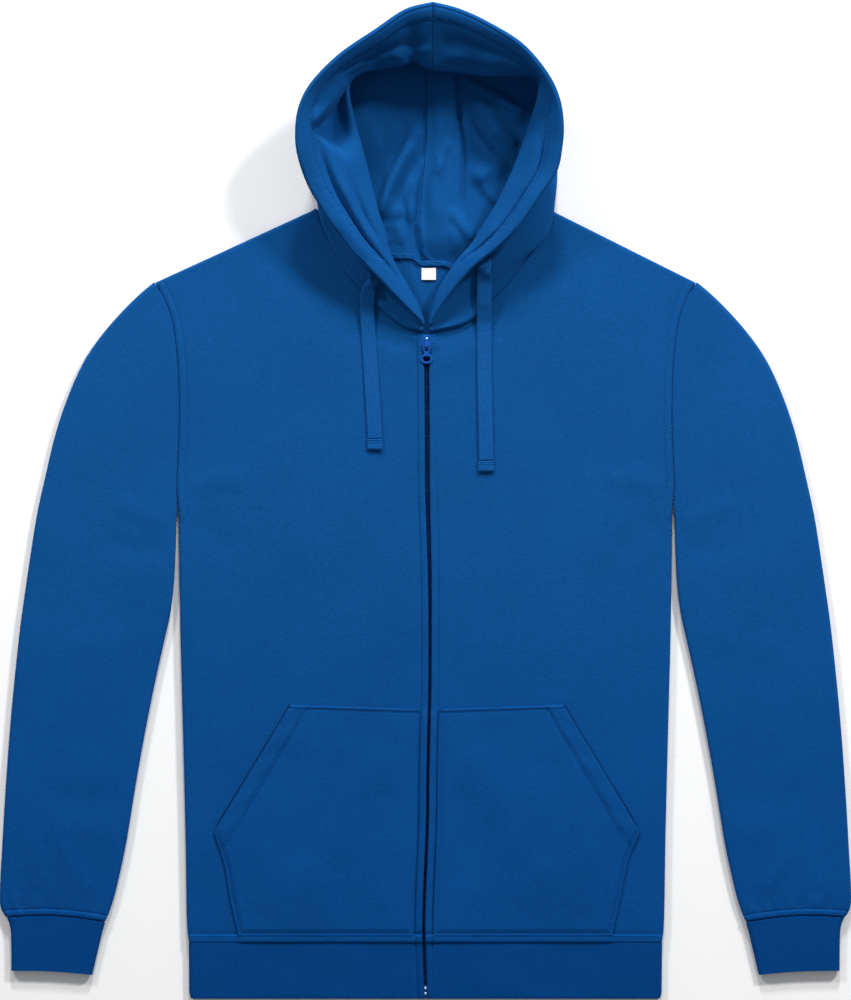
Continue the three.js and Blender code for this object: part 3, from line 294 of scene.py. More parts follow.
# Materials.
# Fine noise in object coordinates with its own stretch in x, y and z.
def noiseAt(tree, scale, detail=2.0, rough=0.55):
    coordinates = tree.nodes.new("ShaderNodeTexCoord")
    mapping = tree.nodes.new("ShaderNodeMapping")
    mapping.inputs["Scale"].default_value = scale
    noise = tree.nodes.new("ShaderNodeTexNoise")
    noise.inputs["Scale"].default_value = 1.0
    noise.inputs["Detail"].default_value = detail
    noise.inputs["Roughness"].default_value = rough
    tree.links.new(coordinates.outputs["Object"], mapping.inputs["Vector"])
    tree.links.new(mapping.outputs["Vector"], noise.inputs["Vector"])
    return noise.outputs["Fac"]


def ranged(tree, value, low, high, to, smoothly=False):
    made = tree.nodes.new("ShaderNodeMapRange")
    made.interpolation_type = "SMOOTHSTEP" if smoothly else "LINEAR"
    for key, number in zip(("From Min", "From Max", "To Min", "To Max"), (low, high, *to)):
        made.inputs[key].default_value = number
    tree.links.new(value, made.inputs["Value"])
    return made.outputs["Result"]


def calc(tree, kind, a, b):
    made = tree.nodes.new("ShaderNodeMath")
    made.operation = kind
    for slot, value in enumerate((a, b)):
        if isinstance(value, (int, float)):
            made.inputs[slot].default_value = value
        else:
            tree.links.new(value, made.inputs[slot])
    return made.outputs["Value"]


# Knitted or woven cloth: the colour wanders with short streaks, light specks and slow clouds, and
# the same streaks and a finer grain stand out as bump.
def clothMaterial(name, colour, streak=(300, 1100, 1100), streakDepth=0.10, speck=0.3, grainScale=1500,
                  bump=0.35, rough=0.95, sheen=0.1, cloud=0.05, blotch=0.045):
    material = bpy.data.materials.new(name)
    material.use_nodes = True
    tree = material.node_tree
    shader = tree.nodes["Principled BSDF"]
    shader.inputs["Roughness"].default_value = rough
    shader.inputs["Specular IOR Level"].default_value = 0.04
    shader.inputs["Sheen Weight"].default_value = sheen
    shader.inputs["Sheen Tint"].default_value = (0.05, 0.3, 0.85, 1)
    shader.inputs["Sheen Roughness"].default_value = 0.5
    streaks = noiseAt(tree, streak, 2.0)
    fine = noiseAt(tree, (grainScale,) * 3, 1.0)
    clouds = noiseAt(tree, (11, 11, 11), 3.0)
    tint = ranged(tree, streaks, 0.3, 0.7, (1 - streakDepth, 1 + streakDepth))
    specks = ranged(tree, fine, 0.63, 0.74, (1, 1 + speck), True)
    slow = ranged(tree, clouds, 0.3, 0.7, (1 - cloud, 1 + cloud))
    patches = ranged(tree, noiseAt(tree, (260, 420, 420), 2.0), 0.3, 0.7, (1 - blotch, 1 + blotch))
    strength = calc(tree, "MULTIPLY", calc(tree, "MULTIPLY", tint, specks), calc(tree, "MULTIPLY", slow, patches))
    # painted shade: a piece's painted shade attribute darkens the colour down to a quarter, standing in for shadow in
    # narrow openings
    paintedShade = tree.nodes.new("ShaderNodeAttribute")
    paintedShade.attribute_name = "paintedShade"
    strength = calc(tree, "MULTIPLY", strength, ranged(tree, paintedShade.outputs["Fac"], 0, 1, (1, 0.25)))
    # painted shade: the colour is darker towards the hem, standing in for the light falling off there
    place = tree.nodes.new("ShaderNodeSeparateXYZ")
    tree.links.new(tree.nodes.new("ShaderNodeTexCoord").outputs["Object"], place.inputs["Vector"])
    paintedHemShade = tree.nodes.new("ShaderNodeMix")
    paintedHemShade.data_type = "VECTOR"
    paintedHemShade.inputs[4].default_value = (colour[0] * 0.5, colour[1] * 0.84, colour[2] * 0.95)
    paintedHemShade.inputs[5].default_value = colour
    tree.links.new(ranged(tree, place.outputs["Y"], -0.42, 0.12, (0, 1), True), paintedHemShade.inputs[0])
    scaled = tree.nodes.new("ShaderNodeVectorMath")
    scaled.operation = "SCALE"
    tree.links.new(paintedHemShade.outputs[1], scaled.inputs[0])
    tree.links.new(strength, scaled.inputs["Scale"])
    tree.links.new(scaled.outputs["Vector"], shader.inputs["Base Color"])
    relief = calc(tree, "ADD", fine, calc(tree, "MULTIPLY", streaks, 0.8))
    bumpNode = tree.nodes.new("ShaderNodeBump")
    bumpNode.inputs["Strength"].default_value = bump
    bumpNode.inputs["Distance"].default_value = 0.0004
    tree.links.new(relief, bumpNode.inputs["Height"])
    tree.links.new(bumpNode.outputs["Normal"], shader.inputs["Normal"])
    return material


def hardMaterial(name, colour, rough, metal=0.0, coat=0.0, bump=0.05, shine=0.5, glint=(1, 1, 1)):
    material = bpy.data.materials.new(name)
    material.use_nodes = True
    tree = material.node_tree
    shader = tree.nodes["Principled BSDF"]
    shader.inputs["Metallic"].default_value = metal
    shader.inputs["Specular IOR Level"].default_value = shine
    shader.inputs["Specular Tint"].default_value = (*glint, 1)
    shader.inputs["Coat Weight"].default_value = coat
    shader.inputs["Coat Roughness"].default_value = 0.08
    shader.inputs["Coat Tint"].default_value = (*glint, 1)
    spots = noiseAt(tree, (900, 900, 900), 2.0)
    tree.links.new(ranged(tree, spots, 0.3, 0.7, (rough * 0.85, rough * 1.15)), shader.inputs["Roughness"])
    scaled = tree.nodes.new("ShaderNodeVectorMath")
    scaled.operation = "SCALE"
    scaled.inputs[0].default_value = colour
    tree.links.new(ranged(tree, spots, 0.3, 0.7, (0.94, 1.06)), scaled.inputs["Scale"])
    tree.links.new(scaled.outputs["Vector"], shader.inputs["Base Color"])
    bumpNode = tree.nodes.new("ShaderNodeBump")
    bumpNode.inputs["Strength"].default_value = bump
    bumpNode.inputs["Distance"].default_value = 0.0002
    tree.links.new(spots, bumpNode.inputs["Height"])
    tree.links.new(bumpNode.outputs["Normal"], shader.inputs["Normal"])
    return material


blue = (0.0040, 0.0690, 0.240)
fleece = clothMaterial("brushed jersey", blue)
ribKnit = clothMaterial("rib knit", (0.0016, 0.056, 0.208), streak=(1500, 260, 1500), streakDepth=0.07, speck=0.2)
cordWeave = clothMaterial("cord weave", (0.0055, 0.082, 0.28), streak=(900, 700, 900), streakDepth=0.14, speck=0.2,
                          grainScale=1900, bump=0.5, rough=0.85)
threadMaterial = clothMaterial("thread", (0.0055, 0.084, 0.29), streak=(2500, 2500, 2500), streakDepth=0.1,
                               speck=0.0, grainScale=4000, bump=0.2, rough=0.7)
tapeWeave = clothMaterial("zip tape weave", (0.004, 0.028, 0.10), streak=(1200, 1200, 1200), streakDepth=0.15,
                          speck=0.1, bump=0.4)
labelWeave = clothMaterial("label satin", (0.86, 0.87, 0.88), streak=(2500, 600, 2500), streakDepth=0.03,
                           speck=0.0, bump=0.2, rough=0.6)
toothPlastic = hardMaterial("tooth plastic", (0.002, 0.016, 0.085), 0.3, shine=0.3, glint=(0.15, 0.4, 1))
paint = hardMaterial("slider paint", (0.004, 0.15, 0.44), 0.28, metal=0.1, coat=1.0, glint=(0.12, 0.62, 1))
stopPlastic = hardMaterial("stop plastic", (0.004, 0.03, 0.12), 0.35, glint=(0.15, 0.4, 1))
# painted highlight: pale metal for the two beads that stand in for glints on the zip's stop
paintedGlintMetal = hardMaterial("pale bead metal for painted glints", (0.45, 0.72, 0.95), 0.3, metal=0.2, coat=0.6)
floorPaper = hardMaterial("floor paper", (0.93, 0.93, 0.93), 0.95, bump=0.0)
print("materials")


# Camera, floor and light.
studio = dict(lens=180, cameraAt=(0, 0.003, 4.5), sky=(0.97, 0.985, 1.0, 1), skyStrength=0.30, floor=4)
# azimuth (0 is the hood's side), elevation, distance in metres, size and power of each lamp
lamps = dict(key=(40, 32, 3.4, 0.42, 84), side=(-40, 32, 3.4, 0.46, 49), top=(2, 25, 3.6, 0.42, 93))

camera = bpy.data.objects.new("camera", bpy.data.cameras.new("camera"))
camera.data.lens = studio["lens"]
camera.data.sensor_fit = "AUTO"
camera.data.sensor_width = 36
camera.data.clip_end = 50
camera.location = studio["cameraAt"]
scene.collection.objects.link(camera)
scene.camera = camera

floorMesh = bpy.data.meshes.new("floor")
far = studio["floor"]
floorMesh.from_pydata([(-far, -far, 0), (far, -far, 0), (far, far, 0), (-far, far, 0)], [], [(0, 1, 2, 3)])
floorMesh.materials.append(floorPaper)
floor = bpy.data.objects.new("floor", floorMesh)
scene.collection.objects.link(floor)

world = bpy.data.worlds.new("studio")
scene.world = world
world.use_nodes = True
world.node_tree.nodes["Background"].inputs["Color"].default_value = studio["sky"]
world.node_tree.nodes["Background"].inputs["Strength"].default_value = studio["skyStrength"]
scene.view_settings.view_transform = "Standard"


# A square lamp that looks at the chest from an azimuth and an elevation.
def addLamp(name, azimuth, elevation, distance, size, energy):
    lamp = bpy.data.objects.new(name, bpy.data.lights.new(name, "AREA"))
    lamp.data.size = size
    lamp.data.energy = energy
    a, e = math.radians(azimuth), math.radians(elevation)
    way = np.array([math.sin(a) * math.cos(e), math.cos(a) * math.cos(e), math.sin(e)])
    lamp.location = way * distance + np.array([0, 0.1, 0])
    lamp.rotation_euler = (math.pi / 2 - e, 0, math.pi - a)
    scene.collection.objects.link(lamp)


for name, values in lamps.items():
    addLamp(name, *values)
print("camera and light")


# Drawcord ends.
cordRows = dict(
    left=[(-43.6, 212.6, 19.5), (-45.5, 208.0, 23.0), (-48.0, 202.5, 19.8), (-50.0, 196.5, 17.6), (-51.4, 189.0, 15.6),
          (-52.2, 181.0, 13.2), (-52.4, 171.0, 10.2), (-51.2, 150.0, 9.1), (-49.6, 125.0, 9.3),
          (-48.0, 100.0, 9.7), (-46.4, 75.0, 9.9), (-45.6, 58.2, 9.9)],
    right=[(52.3, 219.6, 22.5), (52.4, 211.0, 24.0), (52.5, 205.0, 22.6), (52.6, 198.5, 20.6), (52.6, 190.0, 18.6),
           (52.6, 180.0, 16.0), (52.6, 170.0, 12.6), (52.6, 158.0, 9.7), (52.7, 130.0, 9.4),
           (53.2, 100.0, 9.8), (53.9, 70.0, 10.0), (54.4, 38.6, 9.9)],
)
cordSize = dict(width=13.0, thick=2.0, ribs=6, tip=9.6)


# Half height of the flat cord across its width: full in the middle, round at the edges, with
# ribs as half sine waves.
def cordProfile(width, thick, ribs, ribHeight, count):
    x = np.linspace(-1, 1, count)
    body = np.sqrt(np.maximum(0, 1 - np.abs(x) ** 7)) * thick / 2
    wave = ribHeight * (np.abs(np.sin(math.pi * ribs * (x + 1) / 2)) - 0.6) * np.minimum(1, (1 - np.abs(x)) * 8)
    return x * width / 2, np.maximum(body + wave, 0)


def makeCord(name):
    rows = np.array(cordRows[name])
    count = 160
    share = np.linspace(0, 1, count)
    path = smoothLine(rows, share)
    way = np.gradient(path, axis=0)
    way /= np.linalg.norm(way, axis=1, keepdims=True)
    across = np.tile([1.0, 0, 0], (count, 1))
    across -= way * np.sum(across * way, axis=1, keepdims=True)
    across /= np.linalg.norm(across, axis=1, keepdims=True)
    up = np.cross(way, across)
    run = share * np.linalg.norm(np.diff(path, axis=0), axis=1).sum()
    # a half turn just below the exit on the left, only a fold on the right
    twist = math.pi * (1 - smooth((run - 6) / 20)) if name == "left" else 0.5 * bell(run, 12, 6)
    narrow = 1 - (0.24 * bell(run, 15, 8) if name == "left" else 0.06 * bell(run, 12, 4))
    turned = across * np.cos(twist)[:, None] + up * np.sin(twist)[:, None]
    above = -across * np.sin(twist)[:, None] + up * np.cos(twist)[:, None]
    x, z = cordProfile(cordSize["width"], cordSize["thick"], cordSize["ribs"], 0.42, 61)
    wave = 1 + 0.03 * np.sin(run / 1.1)
    ring = np.concatenate([np.stack([x, z], -1), np.stack([x, -z], -1)[::-1][1:-1]])
    section = np.tile(ring, (count, 1, 1))
    section[..., 0] *= narrow[:, None]
    section[..., 1] *= wave[:, None]
    lifted = path + np.array([0, 0, 1.0]) * (np.abs(np.sin(twist)) * 3.2)[:, None]
    piece = tubeMesh(f"drawcord-{name}", lifted, turned, above, section, cordWeave)
    dress(piece, f"drawcord_{name}")
    return piece, path


# The folded and stitched end of a cord, with loose fibres where it was cut.
def makeTip(name):
    end = np.array(cordRows[name][-1])
    tip = cordSize["tip"]
    run = np.concatenate([[0, 0.15, 0.5], np.linspace(1, tip - 1, 42), [tip - 0.5, tip - 0.1, tip]])
    path = np.stack([np.full_like(run, end[0]), end[1] - 0.3 - run, np.full_like(run, end[2] + 0.1)], -1)
    x, z = cordProfile(cordSize["width"] + 1.2, 2.6, cordSize["ribs"], 0.3, 61)
    ring = np.concatenate([np.stack([x, z], -1), np.stack([x, -z], -1)[::-1][1:-1]])
    section = np.tile(ring, (len(run), 1, 1))
    pinch = 1 - 0.34 * bell(run, 2.0, 0.5) - 0.3 * bell(run, 4.1, 0.5)
    edge = np.sqrt(np.clip(np.minimum(run + 0.05, tip - run + 0.05) / 0.9, 0.15, 1))
    section[..., 1] *= (pinch * edge)[:, None]
    section[..., 0] *= (1 - 0.02 * (1 - pinch) * 4)[:, None]
    count = len(run)
    across = np.tile([1.0, 0, 0], (count, 1))
    up = np.tile([0, 0, 1.0], (count, 1))
    piece = tubeMesh(f"cord-tip-{name}", path, across, up, section, cordWeave)
    dress(piece, f"cord_tip_{name}")
    for row in (2.0, 4.1):
        x = np.linspace(end[0] - 5.9, end[0] + 5.9, 12)
        line = np.stack([x, np.full(12, end[1] - 0.3 - row), np.full(12, end[2] + 1.0)], -1)
        stitch(line, np.tile([0, 0, 1.0], (12, 1)), pitch=1.7, length=1.5, wide=0.5, high=0.5)
    rng = np.random.default_rng(5 if name == "left" else 9)
    number = 40
    shape, faces = grain(1.0, 0.22, 0.22, sides=4)
    length = rng.uniform(0.5, 1.3, number)
    places = np.stack([end[0] + rng.uniform(-6.3, 6.3, number), np.full(number, end[1] - 0.3 - tip) - length * 0.3,
                       end[2] + rng.uniform(-0.3, 1.0, number)], -1)
    ways = np.stack([rng.normal(0, 0.28, number), -np.ones(number), rng.normal(-0.1, 0.15, number)], -1)
    points, faces = copies(shape * np.array([1.3, 1, 1]), faces, places, ways, np.tile([0, 0, 1.0], (number, 1)))
    fibres = addMesh(f"cord-fibres-{name}", points, faces, cordWeave)
    dress(fibres)
    return piece, fibres


for name in ("left", "right"):
    cordPiece, cordPath = makeCord(name)
    tipPiece, fibres = makeTip(name)
print("cords")


# Seam lines of the body.
zipLine = np.array([(-445.2, 0.0), (-384.0, -1.6), (-267.0, 1.9), (-141.0, 4.0), (-87.0, 4.0), (30.9, 1.6),
                    (153.9, 1.0)])
sideSeam = np.array([(213.2, -394.8), (215.3, -375.0), (216.5, -303.0), (218.2, -231.0), (220.1, -159.0),
                     (221.4, -105.0), (222.6, -10.5)])
armhole = np.array([(222.6, -10.5), (223.6, 14.0), (222.8, 38.0), (221.6, 68.7), (221.8, 105.6), (223.7, 134.4),
                    (227.2, 160.5), (233.8, 180.3), (243.6, 199.2)])
frontNeck = dict(
    left=np.array([(-1.6, 154.6), (-24.8, 162.4), (-59.0, 193.8), (-74.2, 212.7), (-86.0, 235.2),
                   (-95.0, 254.4), (-98.6, 265.4)]),
    right=np.array([(3.6, 154.6), (36.5, 162.4), (59.5, 183.0), (76.0, 200.5), (89.5, 219.0),
                    (102.5, 245.0), (110.3, 265.4)]),
)
backNeck = dict(
    left=np.array([(-98.6, 265.4), (-90.0, 253.0), (-76.0, 240.5), (-65.0, 234.0), (-52.0, 228.6), (-35.0, 223.8),
                   (-20.0, 221.0), (-7.0, 218.4), (6.5, 215.6)]),
    right=np.array([(110.3, 265.4), (102.0, 254.6), (91.0, 242.6), (77.0, 230.0), (64.0, 220.6), (50.0, 213.4),
                    (34.0, 210.8), (20.0, 212.4), (6.5, 215.6)]),
)
slot = 2.6
shoulderTip = np.array([243.6 - 0.52 * half - 0.15, 199.2 - half])


# Where the zip's middle line lies at a height: smooth steps between its rows.
def zipAt(y):
    y = np.asarray(y, float)
    low = np.clip(np.searchsorted(zipLine[:, 0], y) - 1, 0, len(zipLine) - 2)
    t = (y - zipLine[low, 0]) / (zipLine[low + 1, 0] - zipLine[low, 0])
    return zipLine[low, 1] + (zipLine[low + 1, 1] - zipLine[low, 1]) * smooth(t)


sideLine = smoothLine(sideSeam - [half, 0], np.linspace(0, 1, 60))
holeRows = np.concatenate([[armhole[0] - [half, 0]], armhole[1:-1] - [0.15, 0], [shoulderTip]])
holeLine = smoothLine(holeRows, np.linspace(0, 1, 60))


# How far the cloth has dropped where it turns down to the side seam: a quarter circle.
def edgeDrop(distance):
    inside = np.clip(cloth["turn"] - distance, 0, None)
    return cloth["turn"] - np.sqrt(np.maximum(0, cloth["turn"] ** 2 - inside**2))


# Half the opening between the zip's edges: it narrows below the slider, where the cloth rolls over.
def slotAt(y):
    return slot - 0.5 * smooth((130 - y) / 12) - 0.75 * smooth((60 - y) / 220)


def mirrored(line, side):
    return line * np.array([side, 1.0])


# The lines round one front, from the zip's edge to the side, as plan points.
def frontLines(name):
    side = -1 if name == "left" else 1
    neck = frontNeck[name]
    neckEnd = neck[-1] - [0, half]
    shoulder = np.linspace(neckEnd, mirrored(shoulderTip, side), 12)
    y = np.linspace(bandTop, neck[0, 1], 60)
    return dict(
        side=mirrored(sideLine, side), hole=mirrored(holeLine, side), shoulder=shoulder,
        neck=through(neck, np.linspace(0, 1, 60)), zip=np.stack([zipAt(y) + side * slotAt(y), y], -1),
        hem=np.array([[zipAt(bandTop) + side * slot, bandTop], [side * (sideSeam[0, 0] - half), bandTop]]),
    )


frontAround = {name: frontLines(name) for name in ("left", "right")}


# Middle height of a front before its seams are pressed in: it swells away from the edges and turns
# down at the side and shoulder.
def frontBase(name, points):
    lines = frontAround[name]
    edge = np.min([distanceTo(line, points) for line in lines.values()], axis=0)
    rounded = np.minimum(distanceTo(lines["side"], points), distanceTo(lines["shoulder"], points))
    return cloth["front"] + cloth["puff"] * smooth(edge / cloth["puffReach"]) - edgeDrop(rounded)


# Uneven strength of the turned corners beside the slider: a slanting sine.
def cornerFade(x, y):
    return 0.8 + 0.2 * np.sin(x * 0.9 + y * 0.7)


# Relief of a front: the zip's facing with its groove, the ridge over the band, the armhole's ridge
# and groove, the neck seam and a slow wander.
def frontRelief(name, points):
    side = -1 if name == "left" else 1
    lines = frontAround[name]
    x, y = points[..., 0], points[..., 1]
    fromZip = side * (x - zipAt(y)) - slotAt(y)
    fromHem = y - bandTop
    fromHole = distanceTo(lines["hole"], points)
    fromNeck = distanceTo(lines["neck"], points)
    fade = smooth(fromHole / 14) * smooth(fromNeck / 14)
    relief = 0.6 * shelf(fromZip, 0.9, 5.2, 1.6) - 0.75 * bell(fromZip, 6.0, 0.75)
    relief += 1.1 * (1 - smooth(fromZip / 4.5)) * smooth((60 - y) / 220)
    # the facing and the hem's ridge lie over the edges of the pocket
    relief += 1.1 * shelf(y, -388, -187, 9) * shelf(fromZip, -3, 5.9, 1.6)
    relief += 0.9 * shelf(fromHem, 0.8, 6.6, 1.8) * shelf(np.abs(x), -2, 168, 9)
    # turned corners of the facing beside the slider
    relief += 1.3 * shelf(y, 139, 149, 4) * shelf(fromZip, 1.0, 8.5, 2.2) * cornerFade(x, y)
    relief += 0.3 * np.sin(y / 6.4 + 1.7 * np.sin(y / 41)) * bell(fromZip, 5.0, 5.0) * 0.5
    relief += 0.55 * shelf(fromHem, 0.6, 6.4, 1.7) - 0.3 * bell(fromHem, 7.8, 0.9)
    relief += 0.22 * np.sin(x / 5.1 + 2 * np.sin(x / 33)) * bell(fromHem, 9, 5)
    relief += 0.36 * shelf(fromHole, 1.4, 6.0, 1.6) - 0.42 * bell(fromHole, 6.9, 0.8)
    relief -= 0.9 * (1 - smooth(fromHole / 1.9))
    relief += 0.22 * shelf(fromNeck, 1.2, 5.0, 1.6) - 0.7 * (1 - smooth(fromNeck / 1.7))
    relief += 0.5 * wander(x, y, 3 if name == "left" else 4) * fade
    relief += crease(points, [(side * 214, 12), (side * 190, 22), (side * 158, 20)], 9, 0.9)
    relief += crease(points, [(side * 216, -14), (side * 196, -22), (side * 170, -44)], 10, -0.6)
    relief += crease(points, [(side * 12, 120), (side * 34, 138), (side * 60, 150)], 10, 0.8)
    return relief


def frontHeight(name, points):
    return frontBase(name, points) + frontRelief(name, points)


neckShare, sideShare = 0.48, 0.64


def makeFront(name):
    side = -1 if name == "left" else 1
    neck = frontNeck[name]
    u = steps(220, 3.4)
    v = steps(600, 3.4)
    # the share where neck meets shoulder and side meets armhole falls on a grid line
    u[np.abs(u - neckShare).argmin()] = neckShare
    v[np.abs(v - sideShare).argmin()] = sideShare
    bottomX = zipAt(bandTop) + side * slotAt(bandTop)
    bottom = np.stack([bottomX + (side * (sideSeam[0, 0] - half) - bottomX) * u, np.full_like(u, bandTop + 0.15)], -1)
    neckLine = through(neck - np.array([0, 0.15]), u / neckShare)
    neckEnd = neck[-1] - [0, half]
    shoulder = neckEnd + (mirrored(shoulderTip, side) - neckEnd) * ((u - neckShare) / (1 - neckShare))[:, None]
    top = np.where(u[:, None] < neckShare, neckLine, shoulder)
    zipTopY = neck[0, 1] - 0.15
    y = bandTop + 0.15 + (zipTopY - bandTop - 0.15) * v
    start = np.stack([zipAt(y) + side * slotAt(y), y], -1)
    low = byLength(sideLine, v / sideShare)
    high = byLength(holeLine, (v - sideShare) / (1 - sideShare))
    end = mirrored(np.where(v[:, None] < sideShare, low, high), side)
    start[-1], top[0] = top[0], top[0]
    top[-1] = end[-1]
    plan = between(bottom, top, start, end, u, v)
    z = frontHeight(name, plan)
    onSide = v <= sideShare
    z[onSide, -1] = cloth["seam"] + 0.15
    z[-1, u > neckShare] = cloth["seam"] + 0.15
    grid = np.concatenate([plan, z[..., None]], -1)
    d = np.minimum(np.minimum(u, 1 - u)[None] * 220, np.minimum(v, 1 - v)[:, None] * 600)
    thick = roundOff(d)
    if side > 0:
        grid, thick = grid[:, ::-1], thick[:, ::-1]
    piece, _ = sheetMesh(f"front-{name}", grid, thick, thick, fleece)
    return dress(piece, f"front_{name}")


# A line moved sideways in plan, then laid on the front with its stitches.
def stitchOnFront(name, line, offset, lift=half, **kind):
    way = np.gradient(line, axis=0)
    way /= np.linalg.norm(way, axis=1, keepdims=True)
    moved = line + offset * np.stack([-way[:, 1], way[:, 0]], -1)
    z = frontHeight(name, moved) + lift
    stitch(np.concatenate([moved, z[:, None]], 1), np.tile([0, 0, 1.0], (len(moved), 1)), **kind)


for name in ("left", "right"):
    side = -1 if name == "left" else 1
    makeFront(name)
    lines = frontAround[name]
    stitchOnFront(name, lines["hole"], side * 6.9)
    stitchOnFront(name, lines["zip"][1:-1], -side * 5.9)
    hemLine = np.stack([np.linspace(zipAt(bandTop) + side * 9.5, side * 209, 60), np.full(60, bandTop + 6.0)], -1)
    stitchOnFront(name, hemLine, 0)
print("fronts")


# Back.
def makeBack():
    outer = steps(220, 8, start=False, reach=4)
    side = outer[outer > 0.5]
    neckFrom, neckTo = 0.27, 0.73
    middle = np.linspace(neckFrom, neckTo, 65)
    high = 0.5 + side / 2
    high = high[high > neckTo + 0.006]
    u = np.concatenate([1 - high[::-1], middle, high])
    v = steps(600, 6, reach=4)
    v[np.abs(v - sideShare).argmin()] = sideShare
    edgeX = sideSeam[0, 0] - half
    bottom = np.stack([(2 * u - 1) * edgeX, np.full_like(u, bandTop + 0.15)], -1)
    low = byLength(sideLine, v / sideShare)
    up = byLength(holeLine, (v - sideShare) / (1 - sideShare))
    end = np.where(v[:, None] < sideShare, low, up)
    start = end * [-1, 1]
    rows = np.concatenate([backNeck["left"], backNeck["right"][::-1][1:]]) - [0, 0.15]
    neckLine = through(rows, (u - neckFrom) / (neckTo - neckFrom))
    leftEnd, rightEnd = rows[0] - [0, half], rows[-1] - [0, half]
    left = leftEnd + (start[-1] - leftEnd) * ((neckFrom - u) / neckFrom)[:, None]
    right = rightEnd + (end[-1] - rightEnd) * ((u - neckTo) / (1 - neckTo))[:, None]
    top = np.where(u[:, None] < neckFrom, left, np.where(u[:, None] > neckTo, right, neckLine))
    plan = between(bottom, top, start, end, u, v)
    folded = np.stack([np.abs(plan[..., 0]), plan[..., 1]], -1)
    shoulders = [np.linspace(leftEnd, start[-1], 10), np.linspace(rightEnd, end[-1], 10)]
    away = np.min([distanceTo(sideLine, folded)] + [distanceTo(line, plan) for line in shoulders], axis=0)
    z = cloth["back"] + edgeDrop(away)
    onSide = v <= sideShare
    z[onSide, 0] = z[onSide, -1] = cloth["seam"] - 0.15
    z[-1, (u < neckFrom) | (u > neckTo)] = cloth["seam"] - 0.15
    # inside the neck the cloth lies in low soft folds
    x, y = plan[..., 0], plan[..., 1]
    lift = smooth((y - 90) / 60) * bell(x, 5, 42) * (0.5 + 0.5 * wander(x * 3, y * 2.2, 8)) * 0.7
    d = np.minimum(np.minimum(u, 1 - u)[None] * 440, np.minimum(v, 1 - v)[:, None] * 600)
    thick = roundOff(d)
    grid = np.concatenate([plan, z[..., None]], -1)
    flipped = normalsOf(grid)[..., 2].mean() < 0
    if flipped:
        grid, thick, lift = grid[:, ::-1], thick[:, ::-1], lift[:, ::-1]
    piece, _ = sheetMesh("back-panel", grid, thick + lift * (thick > 0), thick, fleece)
    return dress(piece, "back")


back = makeBack()
print("back")


# Sleeves and cuffs.
holeShares = np.array([0, 0.055, 0.17, 0.3, 0.44, 0.58, 0.72, 0.86, 1])
# outer edge of the sleeve's cap, then outer and inner edge down to the cuff
capRows = np.array([(243.6, 199.2), (257.0, 188.1), (274.0, 171.2), (291.5, 150.8), (307.0, 127.8), (320.3, 99.0),
                    (332.6, 63.0)])
sleeveRows = np.array([
    (343.6, 17.0, 223.1, -10.5), (349.6, -11.0, 223.7, -37.0), (354.8, -43.0, 225.3, -69.0),
    (359.5, -75.0, 228.5, -98.0), (364.0, -107.0, 233.5, -121.0), (369.0, -152.0, 242.0, -159.0),
    (373.5, -200.0, 250.5, -201.0),
    (377.5, -255.0, 259.5, -251.0), (380.6, -308.0, 268.5, -306.0), (382.8, -348.0, 277.7, -348.0),
    (382.0, -363.0, 283.0, -366.0), (377.4, -371.6, 287.2, -376.0)])
cuffRows = np.array([(376.4, -372.2, 287.9, -376.6), (373.0, -385.0, 291.4, -389.0), (372.4, -420.2, 299.6, -423.8)])


